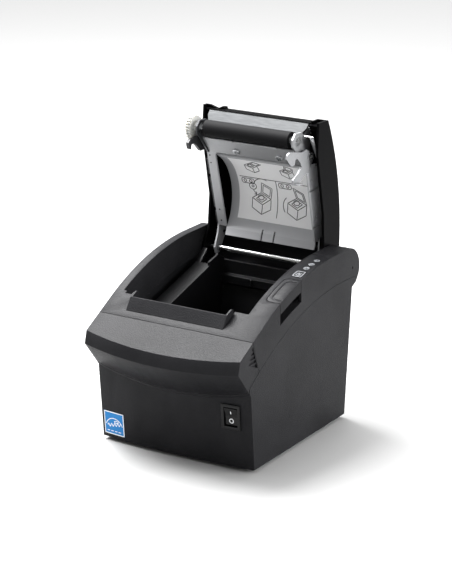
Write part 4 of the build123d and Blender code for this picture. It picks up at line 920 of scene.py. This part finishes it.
class PRINTER_OT_frame_rivets(bpy.types.Operator):
    """Set the small rivets at the two ends of the lid frame's left rail."""

    bl_idname = "printer.frame_rivets"
    bl_label = "Frame rivets"

    def execute(self, context):
        tree, ids = row_tree("Rivet row", "pin", MATERIALS["black_nylon"])
        (y0, z0), (y1, z1) = FRAME_EDGE
        run = Vector((0, y1 - y0, z1 - z0)).normalized()
        rows = (
            ("rail_rivets_front", -51.8, 0.05, 2, 1.3, 0.1),
            ("rail_rivets_rear", -50.4, 0.78, 2, 1.5, 0.15),
        )
        rail = math.hypot(y1 - y0, z1 - z0)
        for name, x, first, count, size, gap in rows:
            start = Vector((x, y0, z0)) + run * rail * first
            step = run * rail * gap
            a = opened(*start)
            b = opened(*(start + step))
            normal = opened(0, -run.z, run.y) - opened(0, 0, 0)
            turn = normal.to_track_quat("Z", "Y").to_euler()
            values = {
                ids["count"]: count,
                ids["start"]: tuple(a),
                ids["step"]: tuple(b - a),
                ids["size"]: (size * MM, size * MM, 0.5 * MM),
                ids["turn"]: tuple(turn),
            }
            run_tree(tree, values, name, "lid", "black_nylon")
        return {"FINISHED"}


class PRINTER_OT_socket_contacts(bpy.types.Operator):
    """Lay the contact wires of the drawer socket and the data socket."""

    bl_idname = "printer.socket_contacts"
    bl_label = "Socket contacts"

    def execute(self, context):
        tree, ids = row_tree("Contact row", "bar", MATERIALS["turned_brass"])
        rows = (
            ("drawer_contacts", 6, (-1.6, 68.0, 12.6), (1.4, 0, 0), (0.45, 8.0, 0.4)),
            ("data_contacts", 2, (-18.7, 70.0, 17.4), (2.4, 0, 0), (1.0, 6.0, 0.3)),
        )
        for name, count, start, step, size in rows:
            values = {
                ids["count"]: count,
                ids["start"]: tuple(v * MM for v in start),
                ids["step"]: tuple(v * MM for v in step),
                ids["size"]: tuple(v * MM for v in size),
            }
            run_tree(tree, values, name, "housing", "turned_brass")
        return {"FINISHED"}


def softbox(name, place, aim, side, watts):
    """A large square area light that looks at a point."""
    data = bpy.data.lights.new(name, "AREA")
    data.shape = "RECTANGLE"
    data.size = data.size_y = side
    data.energy = watts
    lamp = bpy.data.objects.new(name, data)
    lamp.location = place
    lamp.rotation_euler = (Vector(aim) - Vector(place)).to_track_quat("-Z", "Y").to_euler()
    bpy.context.scene.collection.objects.link(lamp)


class PRINTER_OT_stage(bpy.types.Operator):
    """Lay the floor, hang the lights and set the camera."""

    bl_idname = "printer.stage"
    bl_label = "Stage"

    def execute(self, context):
        settings = context.scene.printer_stage
        mesh = bpy.data.meshes.new("floor")
        corners = [(x * FLOOR_HALF, y * FLOOR_HALF, 0) for x, y in ((-1, -1), (1, -1), (1, 1), (-1, 1))]
        mesh.from_pydata(corners, [], [(0, 1, 2, 3)])
        floor = bpy.data.objects.new("floor", mesh)
        context.scene.collection.objects.link(floor)
        made, tree, output = start_material("Pale studio floor")
        space = object_space(tree, (1, 1, 1))
        cloud = add_node(tree, "ShaderNodeTexNoise", {"Vector": space, "Scale": 3.0})
        gloss = add_node(tree, "ShaderNodeMapRange", {0: cloud.outputs["Fac"], 3: 0.75, 4: 0.85})
        paint = {"Base Color": rgba(settings.floor_tone), "Roughness": gloss.outputs[0]}
        shader = add_node(tree, "ShaderNodeBsdfPrincipled", paint)
        finish(tree, output, shader)
        mesh.materials.append(made)

        world = bpy.data.worlds.new("Soft white room")
        world.use_nodes = True
        background = world.node_tree.nodes["Background"]
        background.inputs["Color"].default_value = rgba("ffffff")
        background.inputs["Strength"].default_value = settings.sky
        context.scene.world = world
        context.scene.view_settings.view_transform = "Standard"

        top = bpy.data.lights.new("Wide top light", "SUN")
        top.energy = settings.sun
        top.angle = math.radians(70)
        lamp = bpy.data.objects.new("Wide top light", top)
        lamp.rotation_euler = Vector((-0.42, 0.2, 0.88)).to_track_quat("Z", "Y").to_euler()
        context.scene.collection.objects.link(lamp)

        aim = (0, 0, 0.1)
        softbox("Overhead softbox", (-0.62, 0.12, 1.15), aim, 0.8, settings.key_power)
        softbox("Right fill", (1.3, 0.35, 0.55), aim, 0.7, settings.fill_power)

        right = Vector((0.84193, 0.53958, 0.0))
        up = Vector((-0.16920, 0.26401, 0.94956))
        back = Vector((0.51237, -0.79947, 0.31357))
        roll = math.radians(-0.514)
        turned = right * math.cos(roll) + up * math.sin(roll)
        upright = up * math.cos(roll) - right * math.sin(roll)
        data = bpy.data.cameras.new("Camera")
        data.lens = 135.6
        data.sensor_width = 36.0
        camera = bpy.data.objects.new("Camera", data)
        axes = Matrix((turned, upright, back)).transposed().to_4x4()
        camera.matrix_world = Matrix.Translation((0.916, -1.4238, 0.678)) @ axes
        context.scene.collection.objects.link(camera)
        context.scene.camera = camera
        return {"FINISHED"}


class PRINTER_PT_panel(bpy.types.Panel):
    """Sidebar panel with the printer's settings and steps."""

    bl_idname = "PRINTER_PT_panel"
    bl_label = "Receipt printer"
    bl_space_type = "VIEW_3D"
    bl_region_type = "UI"
    bl_category = "Printer"

    def draw(self, context):
        layout = self.layout
        for group in SETTINGS:
            held = getattr(context.scene, group)
            for prop in held.bl_rna.properties:
                if prop.identifier not in {"rna_type", "name"}:
                    layout.prop(held, prop.identifier)
        for step in STEPS:
            layout.operator(step.bl_idname)


SETTINGS = {
    "printer_case": CaseSettings,
    "printer_metal": MetalSettings,
    "printer_label": LabelSettings,
    "printer_spring": SpringSettings,
    "printer_stage": StageSettings,
}
STEPS = (
    PRINTER_OT_stage,
    PRINTER_OT_finishes,
    PRINTER_OT_mouldings,
    PRINTER_OT_front_label,
    PRINTER_OT_rocker_marks,
    PRINTER_OT_key_icons,
    PRINTER_OT_instruction_label,
    PRINTER_OT_latch_spring,
    PRINTER_OT_frame_rivets,
    PRINTER_OT_socket_contacts,
)


def register():
    for group in SETTINGS.values():
        bpy.utils.register_class(group)
    for step in (*STEPS, PRINTER_PT_panel):
        bpy.utils.register_class(step)
    for name, group in SETTINGS.items():
        setattr(bpy.types.Scene, name, bpy.props.PointerProperty(type=group))


def unregister():
    for name in SETTINGS:
        delattr(bpy.types.Scene, name)
    for step in (PRINTER_PT_panel, *reversed(STEPS)):
        bpy.utils.unregister_class(step)
    for group in reversed(SETTINGS.values()):
        bpy.utils.unregister_class(group)


def main():
    """Registers the add-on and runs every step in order."""
    register()
    for step in STEPS:
        family, verb = step.bl_idname.split(".")
        getattr(getattr(bpy.ops, family), verb)()


if __name__ == "__main__":
    main()
